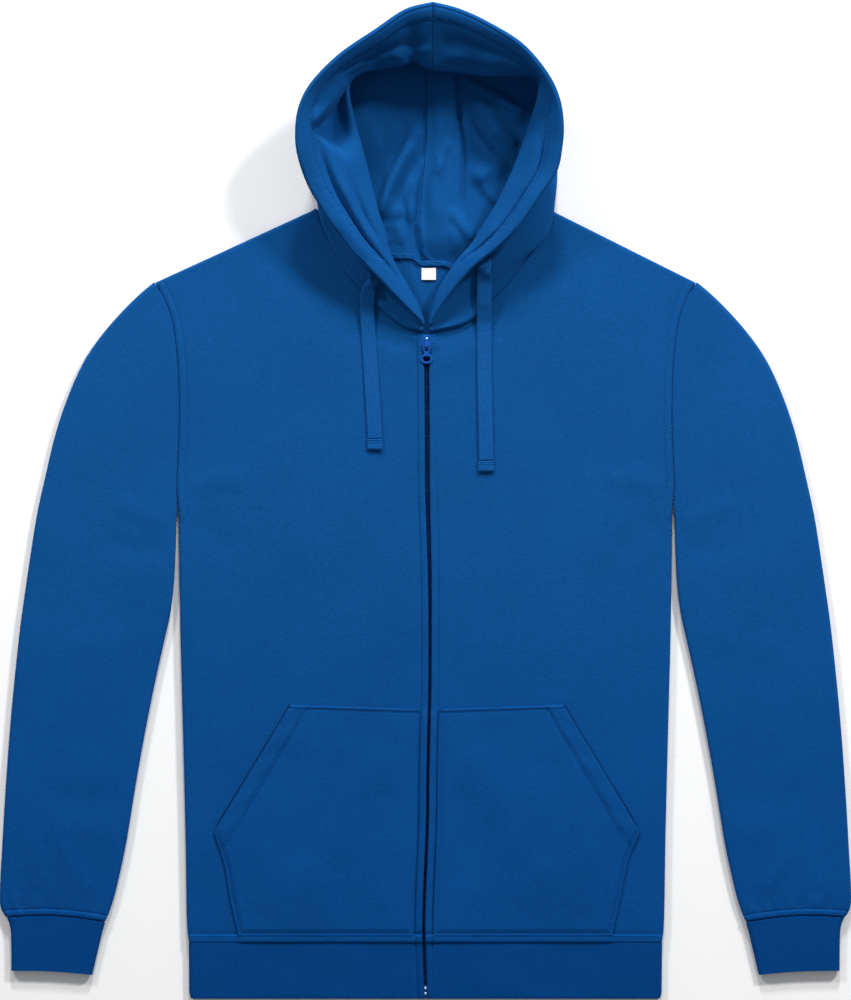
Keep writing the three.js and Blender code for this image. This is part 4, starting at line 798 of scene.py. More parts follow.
# Middle heights of a flattened tube across its width. Columns run from the inner edge over the
# top layer, round the outer fold as a half circle, and back along the bottom layer.
def makeSleeve(name):
    side = -1 if name == "left" else 1
    capCount = len(capRows)
    total = capCount + len(sleeveRows)
    hole = through(armhole[::-1] + [0.15, 0], np.linspace(0, 1, 400))
    outerRows = np.concatenate([capRows, sleeveRows[:, :2]])
    outerRows[0] = hole[0]
    place = np.unique(np.concatenate([
        np.linspace(0, 1, 12), np.linspace(1, capCount, 62), np.linspace(capCount, total - 3, 78),
        np.linspace(total - 3, total - 1, 34), [0.01, 0.03, total - 1.02, total - 1.06, total - 1.13]]))
    outer = through(outerRows, place / (total - 1))
    shares = np.interp(place, np.arange(capCount + 1), holeShares[1:])
    onHole = byLength(hole, shares)
    armT = np.clip((place - capCount) / (total - 1 - capCount), 0, 1)
    inner = np.where((place < capCount)[:, None], onHole, through(sleeveRows[:, 2:], armT))
    width = np.linalg.norm(outer - inner, axis=1)
    inwards = (inner - outer) / width[:, None]
    roll = smooth((place - capCount + 0.4) / 0.8)
    turn = cloth["turn"]
    # shares from the inner edge to the start of the fold
    f = steps(110, 3.0, end=False, reach=8)
    bottomF = steps(110, 9.0, end=False, reach=3)[::-1]
    foldAngle = np.linspace(math.pi / 2, 3 * math.pi / 2, 13)[1:-1]
    inset = half * roll
    foldAt = half + turn
    span = width - inset - foldAt
    topFrom = (width - inset)[:, None] - span[:, None] * f
    bottomFrom = (width - inset)[:, None] - span[:, None] * bottomF
    foldFrom = np.broadcast_to(foldAt + turn * np.cos(foldAngle), (len(place), len(foldAngle)))
    foldZ = np.broadcast_to(cloth["seam"] + turn * np.sin(foldAngle), (len(place), len(foldAngle)))
    fromInner = span[:, None] * f
    puff = cloth["puff"] * smooth(place / 6) * smooth((total - 1 - place) / 3)
    topZ = cloth["front"] + puff[:, None] * np.sin(math.pi * f) - roll[:, None] * edgeDrop(fromInner)
    topZ -= (1 - roll)[:, None] * 0.9 * (1 - smooth(fromInner / 1.9))
    fromInnerB = span[:, None] * bottomF
    bottomZ = cloth["back"] + roll[:, None] * edgeDrop(fromInnerB)
    topZ[:, 0] = np.where(roll > 0.5, cloth["seam"] + 0.15, topZ[:, 0])
    bottomZ[:, -1] = np.where(roll > 0.5, cloth["seam"] - 0.15, bottomZ[:, -1])
    fromOuter = np.concatenate([topFrom, foldFrom, bottomFrom], 1)
    z = np.concatenate([topZ, foldZ, bottomZ], 1)
    plan = outer[:, None] + inwards[:, None] * fromOuter[..., None]
    bow = smooth((place - total + 5.5) / 4.5) * smooth((place - capCount) / 2)
    plan[..., 1] += 3.4 * np.sin(math.pi * fromOuter / width[:, None]) * bow[:, None]
    # relief of the top layer: the ridge over the cuff, its gathers, long soft folds
    cuffEdge = plan[-1, :: max(1, plan.shape[1] // 60)]
    fromCuff = distanceTo(cuffEdge, plan)
    onTop = np.concatenate([np.ones(len(f)), np.linspace(1, 0, len(foldAngle)), np.zeros(len(bottomF))])[None]
    across = fromOuter / width[:, None]
    relief = 0.7 * shelf(fromCuff, 0.7, 4.6, 1.4) - 0.45 * bell(fromCuff, 5.7, 0.8) - 0.7 * (1 - smooth(fromCuff / 1.6))
    relief += 0.55 * np.sin(across * 42 + 2.2 * np.sin(across * 9)) * bell(fromCuff, 9, 8)
    relief += 0.55 * wander(plan[..., 0], plan[..., 1], 11) * smooth(fromCuff / 20) * smooth(place / 2)[:, None]
    for line, wide, high in (
        ([(226, -18), (252, -10), (282, 4)], 9, 0.9), ([(228, -40), (262, -42), (292, -30)], 10, -0.7),
        ([(268, -300), (300, -290), (346, -296)], 12, 0.7), ([(266, -262), (306, -268), (350, -258)], 12, -0.6),
        ([(300, -352), (318, -330), (330, -300)], 8, 0.8), ([(352, -350), (348, -322), (356, -290)], 9, 0.7),
        ([(240, -110), (280, -128), (330, -128)], 14, 0.6),
    ):
        relief += crease(plan, line, wide, high)
    z += relief * onTop
    grid = np.concatenate([mirrored(plan.reshape(-1, 2), side).reshape(plan.shape), z[..., None]], -1)
    columnEdge = np.concatenate([fromInner, np.full_like(foldFrom, 9), fromInnerB], 1)
    run = np.concatenate([[0], np.cumsum(np.linalg.norm(np.diff((outer + inner) / 2, axis=0), axis=1))])
    rowEdge = np.minimum(run, run[-1] - run)[:, None]
    thick = roundOff(np.minimum(columnEdge, rowEdge))
    thick[[0, -1]] = 0
    if side > 0:
        grid, thick = grid[:, ::-1], thick[:, ::-1]
    piece, _ = sheetMesh(f"sleeve-{name}", grid, thick, thick, fleece)
    dress(piece, f"sleeve_{name}")
    # stitches over the cuff and just outside the armhole's end
    line = np.linspace(outer[-1], inner[-1], 30)
    up = np.array([inner[-1][1] - outer[-1][1], outer[-1][0] - inner[-1][0]])
    up = up / np.linalg.norm(up) * 5.7
    line = line + (up if up[1] > 0 else -up)
    line[:, 1] += 3.4 * np.sin(math.pi * np.linspace(0, 1, 30))
    line = line[1:-1]
    z = np.full(len(line), cloth["front"] + half - 0.35)
    stitch(np.concatenate([mirrored(line, side), z[:, None]], 1), np.tile([0, 0, 1.0], (len(line), 1)))
    return piece


# A rib's height across the knit: a rounded ridge and a narrow groove, repeated.
def ribWave(s, pitch, height):
    return height * (np.abs(np.cos(math.pi * s / pitch)) ** 0.7 - 0.55)


rib = dict(pitch=2.65, height=0.5)


def makeCuff(name):
    side = -1 if name == "left" else 1
    length = 51.6
    t = steps(length, 2.4, reach=4)
    rows = through(cuffRows, np.interp(t * length, [0, 13.4, 50.0], [0, 0.5, 1]))
    outer, inner = rows[:, :2], rows[:, 2:]
    width = np.linalg.norm(outer - inner, axis=1)
    inwards = (inner - outer) / width[:, None]
    turn, foldAt = cloth["turn"], half + cloth["turn"]
    ribs = int(88 / rib["pitch"])
    top = np.linspace(0, 1, ribs * 5 + 1)
    low = np.linspace(0, 1, ribs + 1)
    fold = np.linspace(math.pi / 2, 3 * math.pi / 2, 13)[1:-1]
    span = width - 2 * foldAt
    topFrom = width[:, None] - foldAt - span[:, None] * top
    lowFrom = foldAt + span[:, None] * low
    outerFold = np.broadcast_to(foldAt + turn * np.cos(fold), (len(t), len(fold)))
    innerFold = width[:, None] - foldAt + turn * np.cos(fold + math.pi)
    zTop = np.full_like(topFrom, cloth["front"])
    zLow = np.full_like(lowFrom, cloth["back"])
    zOuter = np.broadcast_to(cloth["seam"] + turn * np.sin(fold), outerFold.shape)
    zInner = np.broadcast_to(cloth["seam"] + turn * np.sin(fold + math.pi), innerFold.shape)
    fromOuter = np.concatenate([topFrom, outerFold, lowFrom, innerFold], 1)
    z = np.concatenate([zTop, zOuter, zLow, zInner], 1)
    plan = outer[:, None] + inwards[:, None] * fromOuter[..., None]
    plan[..., 1] += np.sin(math.pi * fromOuter / width[:, None]) * (3.4 - 2.2 * smooth(t))[:, None]
    grid = np.concatenate([mirrored(plan.reshape(-1, 2), side).reshape(plan.shape), z[..., None]], -1)
    run = t * length
    edge = np.minimum(run, length - run)[:, None]
    thick = roundOff(edge) * np.ones_like(fromOuter)
    ribShare = np.concatenate([top * ribs, np.zeros(len(fold)), low * ribs, np.zeros(len(fold))])[None]
    ribbed = np.concatenate([np.ones(len(top)), np.zeros(len(fold)), np.zeros(len(low)), np.zeros(len(fold))])[None]
    drift = 0.5 * np.sin(run / 19)[:, None]
    wave = ribWave((ribShare + drift) * rib["pitch"], rib["pitch"], rib["height"]) * ribbed * smooth(edge / 2.5)
    wave += 0.4 * bell(run, 3.0, 1.6)[:, None] * ribbed
    if side > 0:
        grid, thick, wave = grid[:, ::-1], thick[:, ::-1], wave[:, ::-1]
    piece, _ = sheetMesh(f"cuff-{name}", grid, thick + wave, thick, ribKnit, ring=True)
    return dress(piece, f"cuff_{name}")


sleeves, cuffs = {}, {}
for name in ("left", "right"):
    sleeves[name] = makeSleeve(name)
    cuffs[name] = makeCuff(name)
print("sleeves and cuffs")


# Hem band.
def makeBand():
    height = bandTop - bandBottom
    t = steps(height, 2.6, reach=4)
    run = t * height
    # the band's edge is caught under the fronts' rounded edge
    y = bandTop + 0.6 - run * (height + 0.6) / height
    side = np.interp(-y, [-bandTop, -bandBottom - 5, -bandBottom], [212.8, 212.4, 210.8])
    turn = cloth["turn"]
    edge = side - half - turn
    ribs = int(207 / rib["pitch"])
    front = np.linspace(0, 1, ribs * 4 + 1)
    low = np.linspace(0, 1, 60)
    fold = np.linspace(math.pi / 2, 3 * math.pi / 2, 13)[1:-1]
    zipX = zipAt(y)
    gapHalf = slotAt(bandTop)
    leftX = zipX[:, None] - gapHalf + (-edge[:, None] - zipX[:, None] + gapHalf) * front
    rightX = edge[:, None] + (zipX[:, None] + gapHalf - edge[:, None]) * front
    leftFold = -edge[:, None] + turn * np.cos(fold)
    rightFold = edge[:, None] - turn * np.cos(fold[::-1])
    backX = -edge[:, None] + 2 * edge[:, None] * low
    x = np.concatenate([leftX, leftFold, backX, rightFold, rightX], 1)
    one = np.ones((len(t), 1))
    zFold = cloth["seam"] + turn * np.sin(fold)
    z = np.concatenate([one * np.full(len(front), cloth["front"]), one * zFold, one * np.full(len(low), cloth["back"]),
                        one * zFold[::-1], one * np.full(len(front), cloth["front"])], 1)
    grid = np.stack([x, y[:, None] * np.ones_like(x), z], -1)
    farAway = np.full((len(t), 2 * len(fold) + len(low)), 90.0)
    fromZip = np.concatenate([zipX[:, None] - gapHalf - leftX, farAway, rightX - zipX[:, None] - gapHalf], 1)
    rowEdge = np.minimum(run, height - run)[:, None]
    thick = roundOff(np.minimum(rowEdge, fromZip))
    thick[:, [0, -1]] = 0
    ribShare = np.concatenate([front * ribs, np.zeros(2 * len(fold) + len(low)), front[::-1] * ribs])[None]
    ribbed = np.concatenate([np.ones(len(front)), np.zeros(2 * len(fold) + len(low)), np.ones(len(front))])[None]
    drift = 0.35 * np.sin(run / 17)[:, None]
    wave = ribWave((ribShare + drift) * rib["pitch"], rib["pitch"], rib["height"]) * ribbed * smooth(rowEdge / 2.5)
    wave *= smooth((fromZip - 7) / 3)
    wave += (0.6 * shelf(fromZip, 0.9, 5.2, 1.6) - 0.7 * bell(fromZip, 6.0, 0.7)) * ribbed * smooth(rowEdge / 2)
    grid[..., 2] += 1.1 * (1 - smooth(fromZip / 4.5)) * ribbed
    wave += 0.35 * wander(x * 1.4, y[:, None] * 2, 5) * ribbed * smooth(rowEdge / 6)
    grid, thick, wave = grid[::-1], thick[::-1], wave[::-1]
    if normalsOf(grid)[:, : len(front)][..., 2].mean() < 0:
        grid, thick, wave = grid[:, ::-1], thick[:, ::-1], wave[:, ::-1]
    piece, _ = sheetMesh("hem-band", grid, thick + wave * (thick > 0), thick, ribKnit)
    dress(piece, "hem_band")
    for way in (-1, 1):
        rows = np.linspace(bandTop - 2, bandBottom + 2, 24)
        line = np.stack([zipAt(rows) + way * (slot + 5.9), rows, np.full(24, cloth["front"] + half - 0.3)], -1)
        stitch(line, np.tile([0, 0, 1.0], (24, 1)))
    return piece


band = makeBand()
print("band")


# Pockets.
pocketRows = dict(
    left=np.array([(-167.8, -388.4), (-175.1, -356.1), (-180.5, -324.6), (-188.6, -299.5), (-187.7, -289.5),
                   (-156.0, -236.7), (-122.0, -180.2)]),
    right=np.array([(167.8, -388.4), (176.0, -350.0), (182.2, -320.0), (190.6, -299.5), (190.3, -289.5),
                    (158.6, -236.7), (124.7, -180.2)]),
)
pocket = dict(thick=2.0, fromZip=6.4, top=-184.2, hem=15.6)


# Patch pocket: its own thickness above the front, a raised hem on the slanted edge with a groove
# where it is sewn, turned edges on the sewn sides.
def makePocket(name):
    side = -1 if name == "left" else 1
    rows = pocketRows[name]
    u, v = steps(175, 2.6), steps(205, 2.6)
    low, high = rows[0, 1], pocket["top"]
    y = low + (high - low) * v
    start = np.stack([zipAt(y) + side * (slot + pocket["fromZip"]), y], -1)
    cornerA = np.array([zipAt(low) + side * (slot + pocket["fromZip"]), low])
    cornerB = np.array([zipAt(high) + side * (slot + pocket["fromZip"]), high])
    bottom = cornerA + (rows[0] - cornerA) * u[:, None]
    top = cornerB + (rows[-1] - cornerB) * u[:, None]
    outline = smoothLine(rows, np.linspace(0, 1, 300))
    end = byLength(outline, v)
    plan = between(bottom, top, start, end, u, v)
    # the slanted edge, carried on past its corner as the hem's stitches are
    slant = rows[-1] + (rows[4] - rows[-1]) * np.linspace(0, 1.13, 60)[:, None]
    sewnSide = outline[outline[:, 1] < -296]
    fromSlant = distanceTo(slant, plan)
    fromSide = distanceTo(sewnSide, plan)
    fromTop = distanceTo(top, plan)
    fromZipSide = distanceTo(start, plan)
    fromBottom = distanceTo(bottom, plan)
    relief = 0.85 * shelf(fromSlant, 1.2, pocket["hem"] - 1.2, 3.0) * smooth(fromTop / 4)
    relief -= 0.55 * bell(fromSlant, pocket["hem"], 0.9) * smooth(fromTop / 3)
    relief += 0.25 * np.sin(plan[..., 1] / 4.3) * bell(fromSlant, pocket["hem"] - 5, 6)
    relief += 0.5 * shelf(fromTop, 0.8, 3.0, 1.2) - 0.4 * bell(fromTop, 3.9, 0.7)
    sewn = np.minimum(np.minimum(fromSide, fromZipSide), fromBottom)
    relief -= 1.4 * (1 - smooth(sewn / 7)) + 0.2 * bell(fromSide, 3.6, 0.7)
    waves = wander(plan[..., 0] * 1.3, plan[..., 1] * 1.3, 21 if name == "left" else 22)
    relief += 0.5 * waves * smooth(fromTop / 12) * smooth(fromZipSide / 14)
    relief += crease(plan, [(side * 30, -215), (side * 66, -262), (side * 84, -330)], 16, 0.9)
    relief += crease(plan, [(side * 110, -215), (side * 118, -265), (side * 106, -330)], 15, -0.8)
    relief += crease(plan, [(side * 150, -300), (side * 140, -338), (side * 144, -372)], 10, 0.7)
    relief += crease(plan, [(side * 30, -250), (side * 36, -300), (side * 28, -350)], 11, -0.6)
    base = frontBase(name, plan) + half + cloth["gap"] + pocket["thick"] / 2
    d = np.minimum(np.minimum(u, 1 - u)[None] * 175, np.minimum(v, 1 - v)[:, None] * 205)
    thick = roundOff(d, 1.0, 1.0)
    grid = np.concatenate([plan, base[..., None]], -1)
    up = thick + (relief + 0.35) * smooth(d / 1.5)
    # painted shade: a dark line along the slanted edge stands in for the shadow of the pocket's mouth, and a lighter
    # one along the top edge dims its highlight
    paintedShade = (1 - smooth((fromSlant - 0.5) / 1.2)) * smooth((plan[..., 1] + 294) / 6)
    paintedShade = np.maximum(paintedShade, 0.6 * (1 - smooth((fromTop - 0.2) / 0.9)))
    if side > 0:
        grid, thick, up, paintedShade = grid[:, ::-1], thick[:, ::-1], up[:, ::-1], paintedShade[:, ::-1]
    piece, upper = sheetMesh(f"pocket-{name}", grid, up, thick, fleece, paintedShade=paintedShade)
    dress(piece, f"pocket_{name}")

    # a row of stitches at a distance inside one edge, on the pocket's upper face
    def along(line, inside, **kind):
        way = np.gradient(line, axis=0)
        way /= np.linalg.norm(way, axis=1, keepdims=True)
        centre = plan.reshape(-1, 2).mean(axis=0)
        normal = np.stack([-way[:, 1], way[:, 0]], -1)
        normal *= np.sign(np.sum(normal * (centre - line), axis=1))[:, None]
        moved = line + normal * inside
        z = heightOn(upper, moved)
        stitch(np.concatenate([moved, z[:, None]], 1), np.tile([0, 0, 1.0], (len(moved), 1)), **kind)

    along(byLength(slant, np.linspace(0.05, 0.93, 60)), pocket["hem"])
    along(byLength(top, np.linspace(0.03, 0.97, 60)), 3.9)
    along(byLength(sewnSide, np.linspace(0.02, 0.97, 60)), 3.6)
    return piece


pockets = {name: makePocket(name) for name in ("left", "right")}
print("pockets")


# Hood. Rows from the zip round the face opening to the centre seam: rim, fold of the inner flap, turn
# of the layer below and the neck seam's height.
hoodRows = dict(
    left=np.array([
        (-1.8, 161.2, 16, -2.0, 161.4, 13, -2.1, 158.4, 9.0, 6.0),
        (-15.7, 174.1, 21, -9.5, 181.0, 16, -18.5, 169.0, 10.0, 6.0),
        (-49.6, 208.5, 33, -31.0, 221.0, 19, -49.0, 200.5, 11.0, 6.0),
        (-67.4, 226.1, 38, -36.0, 240.0, 20, -67.0, 221.5, 11.5, 6.0),
        (-83.3, 248.1, 43, -42.5, 260.0, 21, -80.0, 244.0, 11.5, 6.0),
        (-97.5, 270.2, 47, -48.0, 280.6, 22, -90.0, 265.0, 10.5, 6.0),
        (-107.0, 288.5, 51, -52.5, 299.0, 23, -99.0, 286.0, 8.0, 3.6),
        (-114.5, 313.0, 57, -58.5, 322.0, 25, -105.0, 311.0, 5.6, 1.2),
        (-115.6, 336.0, 60, -65.0, 346.0, 27, -106.0, 335.0, 5.2, 1.2),
        (-111.0, 357.0, 63, -69.0, 367.0, 29, -101.0, 356.0, 5.2, 1.2),
        (-99.0, 376.5, 65, -66.5, 378.5, 30, -91.0, 373.0, 5.2, 1.2),
        (-75.5, 399.5, 66, -54.5, 386.0, 30, -71.0, 392.0, 5.2, 1.2),
        (-44.8, 420.7, 66, -31.0, 390.5, 30, -43.0, 411.5, 5.2, 1.2),
        (-18.0, 438.5, 66, -12.0, 392.0, 30, -17.0, 424.5, 5.2, 1.2),
        (6.35, 444.9, 66, 6.35, 388.0, 30, 6.35, 432.0, 5.2, 1.2)], float),
    right=np.array([
        (3.8, 161.2, 16, 4.0, 161.4, 13, 4.1, 158.4, 9.0, 6.0),
        (20.2, 184.9, 21, 12.0, 189.5, 16, 28.0, 171.0, 10.5, 6.0),
        (43.0, 211.0, 30, 28.0, 216.0, 19, 52.0, 198.0, 14.0, 6.0),
        (64.0, 227.4, 36, 41.0, 231.0, 19, 76.0, 216.0, 17.0, 6.0),
        (83.0, 246.0, 42, 52.0, 248.0, 20, 98.0, 231.0, 18.0, 6.0),
        (99.5, 269.0, 47, 64.1, 268.0, 21, 111.0, 247.0, 17.0, 6.0),
        (116.5, 294.8, 52, 78.4, 297.0, 23, 116.0, 281.0, 13.0, 3.6),
        (121.5, 317.0, 56, 86.0, 317.0, 24, 117.0, 310.0, 6.2, 1.2),
        (122.6, 338.0, 60, 93.0, 337.0, 26, 114.0, 333.0, 5.2, 1.2),
        (118.8, 359.0, 63, 101.5, 366.0, 29, 110.0, 354.0, 5.2, 1.2),
        (107.5, 382.0, 65, 98.5, 380.5, 30, 99.5, 375.0, 5.2, 1.2),
        (86.0, 408.0, 66, 79.0, 382.5, 30, 82.0, 399.0, 5.2, 1.2),
        (57.0, 426.5, 66, 54.0, 383.0, 30, 56.0, 414.0, 5.2, 1.2),
        (30.0, 439.0, 66, 28.0, 386.0, 30, 29.0, 425.5, 5.2, 1.2),
        (6.65, 444.9, 66, 6.65, 388.0, 30, 6.65, 432.0, 5.2, 1.2)], float),
)
hood = dict(collar=4.0, hip=6 / 14, middle=np.array([6.0, 215.0]), hem=16.0, clear=3.1)


# Points moved in plan towards the middle of the neck by a distance.
def towardsNeck(rows, distance):
    away = hood["middle"] - rows
    return rows + away / np.linalg.norm(away, axis=1, keepdims=True) * np.asarray(distance)[:, None]


# Cubic through uneven points with the square root of the distance as its spacing, for many
# sections at once: points is (sections, points, 3), s runs from 0 to 1 over all of them.
def splineAcross(points, s):
    count = points.shape[1]
    whole = np.concatenate([2 * points[:, :1] - points[:, 1:2], points, 2 * points[:, -1:] - points[:, -2:-1]], 1)
    place = np.clip(s, 0, 1) * (count - 1)
    low = np.minimum(place.astype(int), count - 2)
    f = (place - low)[None, :, None]
    p = [whole[:, low + k] for k in range(4)]
    gap = [np.sqrt(np.maximum(np.linalg.norm(p[k + 1] - p[k], axis=-1, keepdims=True), 1e-4)) for k in range(3)]
    a = ((p[1] - p[0]) / gap[0] - (p[2] - p[0]) / (gap[0] + gap[1]) + (p[2] - p[1]) / gap[1]) * gap[1]
    b = ((p[2] - p[1]) / gap[1] - (p[3] - p[1]) / (gap[1] + gap[2]) + (p[3] - p[2]) / gap[2]) * gap[1]
    return p[1] + a * f + (-3 * p[1] + 3 * p[2] - 2 * a - b) * f**2 + (2 * p[1] - 2 * p[2] + a + b) * f**3


# Folds that lie over on the floor of the hood: the higher side is on the left of the way they run.
floorFolds = [
    ([(-7, 330), (-22, 300), (-33, 274), (-42, 252)], 15, 4.2),
    ([(34, 384), (54, 370), (74, 358), (96, 348)], 9, 4.6),
    ([(78, 302), (62, 314), (50, 330), (38, 352)], 13, 4.4),
    ([(84, 322), (76, 332), (62, 338)], 8, 2.6),
    ([(48, 238), (40, 250), (30, 266)], 8, 3.0),
    ([(26, 328), (19, 313), (17, 294)], 7, 2.6),
    ([(-4, 246), (-1, 284), (7, 314)], 6, 3.2),
    ([(-46, 262), (-26, 258), (-8, 264)], 7, 1.8),
    ([(-8, 238), (-24, 240), (-38, 236)], 6, 1.6),
    ([(70, 268), (58, 282), (52, 296)], 8, 2.2),
]


# Relief of the layer that lies on the floor inside the hood: the fold beside the centre seam, and
# creases that run from it.
def hoodFloorRelief(points):
    x, y = points[..., 0], points[..., 1]
    edge = np.interp(y, [216, 238, 272, 320, 348, 386, 400], [44, 48, 37.5, 35.5, 32, 30, 30])
    seam = np.interp(y, [216, 300, 388], [0.2, 1.5, 3.0])
    inFold = smooth((x - seam) / 16) * (1 - smooth((x - edge + 1.0) / 2.4))
    relief = 6.5 * inFold * smooth((y - 212) / 30)
    relief += 1.5 * bell(x, seam + 5, 2.8) * (1 + 0.35 * np.sin(y * 0.9 + 2 * np.sin(y / 7)))
    for line, wide, high in floorFolds:
        relief += overlap(points, line, wide, high)
    for line, wide, high in (
        ([(6, 350), (-18, 304), (-30, 280), (-42, 250)], 8, 3.6),
        ([(-14, 350), (-34, 306), (-50, 268)], 9, -1.6),
        ([(34, 378), (58, 352), (84, 306)], 7, 4.2),
        ([(60, 376), (76, 356), (90, 340)], 6, 3.6),
        ([(40, 306), (60, 292), (74, 262)], 7, 2.6),
        ([(36, 286), (56, 268), (60, 240)], 6, -1.8),
        ([(44, 290), (62, 300), (76, 294)], 5, 2.0),
        ([(-60, 262), (-30, 268), (-8, 258)], 7, 1.8),
        ([(-48, 246), (-24, 250), (-4, 240)], 5, 1.4),
        ([(-4, 300), (-8, 276), (-3, 250)], 4, 1.8),
        ([(3, 262), (8, 244), (6, 226)], 3.5, 1.5),
        ([(20, 320), (16, 280), (24, 240)], 6, 1.8),
        ([(30, 250), (34, 236), (30, 222)], 4, 1.3),
        ([(-70, 300), (-52, 320), (-30, 332)], 11, 1.6),
    ):
        relief += 1.25 * crease(points, line, wide, high, 0.3)
    relief += 0.7 * wander(x * 3.2, y * 3.2, 31)
    return np.maximum(relief, -0.6)


# Soft creases and folds that lie over, on the inner flap of each half: line, width, height.
flapCreases = dict(
    left=[([(-62, 394), (-38, 405), (-12, 411), (4, 412)], 4.5, -2.0), ([(-44, 397), (-28, 400), (-17, 398)], 2.4, 1.8),
          ([(-70, 386), (-52, 397), (-36, 402)], 3.0, 1.4), ([(-90, 330), (-80, 300), (-62, 262)], 6, 2.0),
          ([(-84, 250), (-64, 226), (-44, 205)], 4, -2.6), ([(-60, 246), (-44, 222), (-28, 196)], 4, 1.8)],
    right=[([(10, 412), (38, 408), (66, 396)], 5.5, -2.2), ([(12, 402), (44, 398), (82, 389)], 5, 1.6),
           ([(14, 393), (50, 390), (84, 386)], 3.4, -1.2), ([(104, 330), (97, 300), (84, 268)], 6, 1.8),
           ([(92, 300), (80, 272), (58, 240)], 4, -1.6), ([(70, 252), (52, 228), (34, 206)], 4, 1.5)],
)
flapFolds = dict(
    left=[([(-17, 399), (-4, 403), (7, 405)], 6, 1.8), ([(-44, 396), (-30, 391), (-18, 398)], 6, 1.5)],
    right=[([(12, 398), (40, 397), (70, 390)], 7, 1.3)],
)


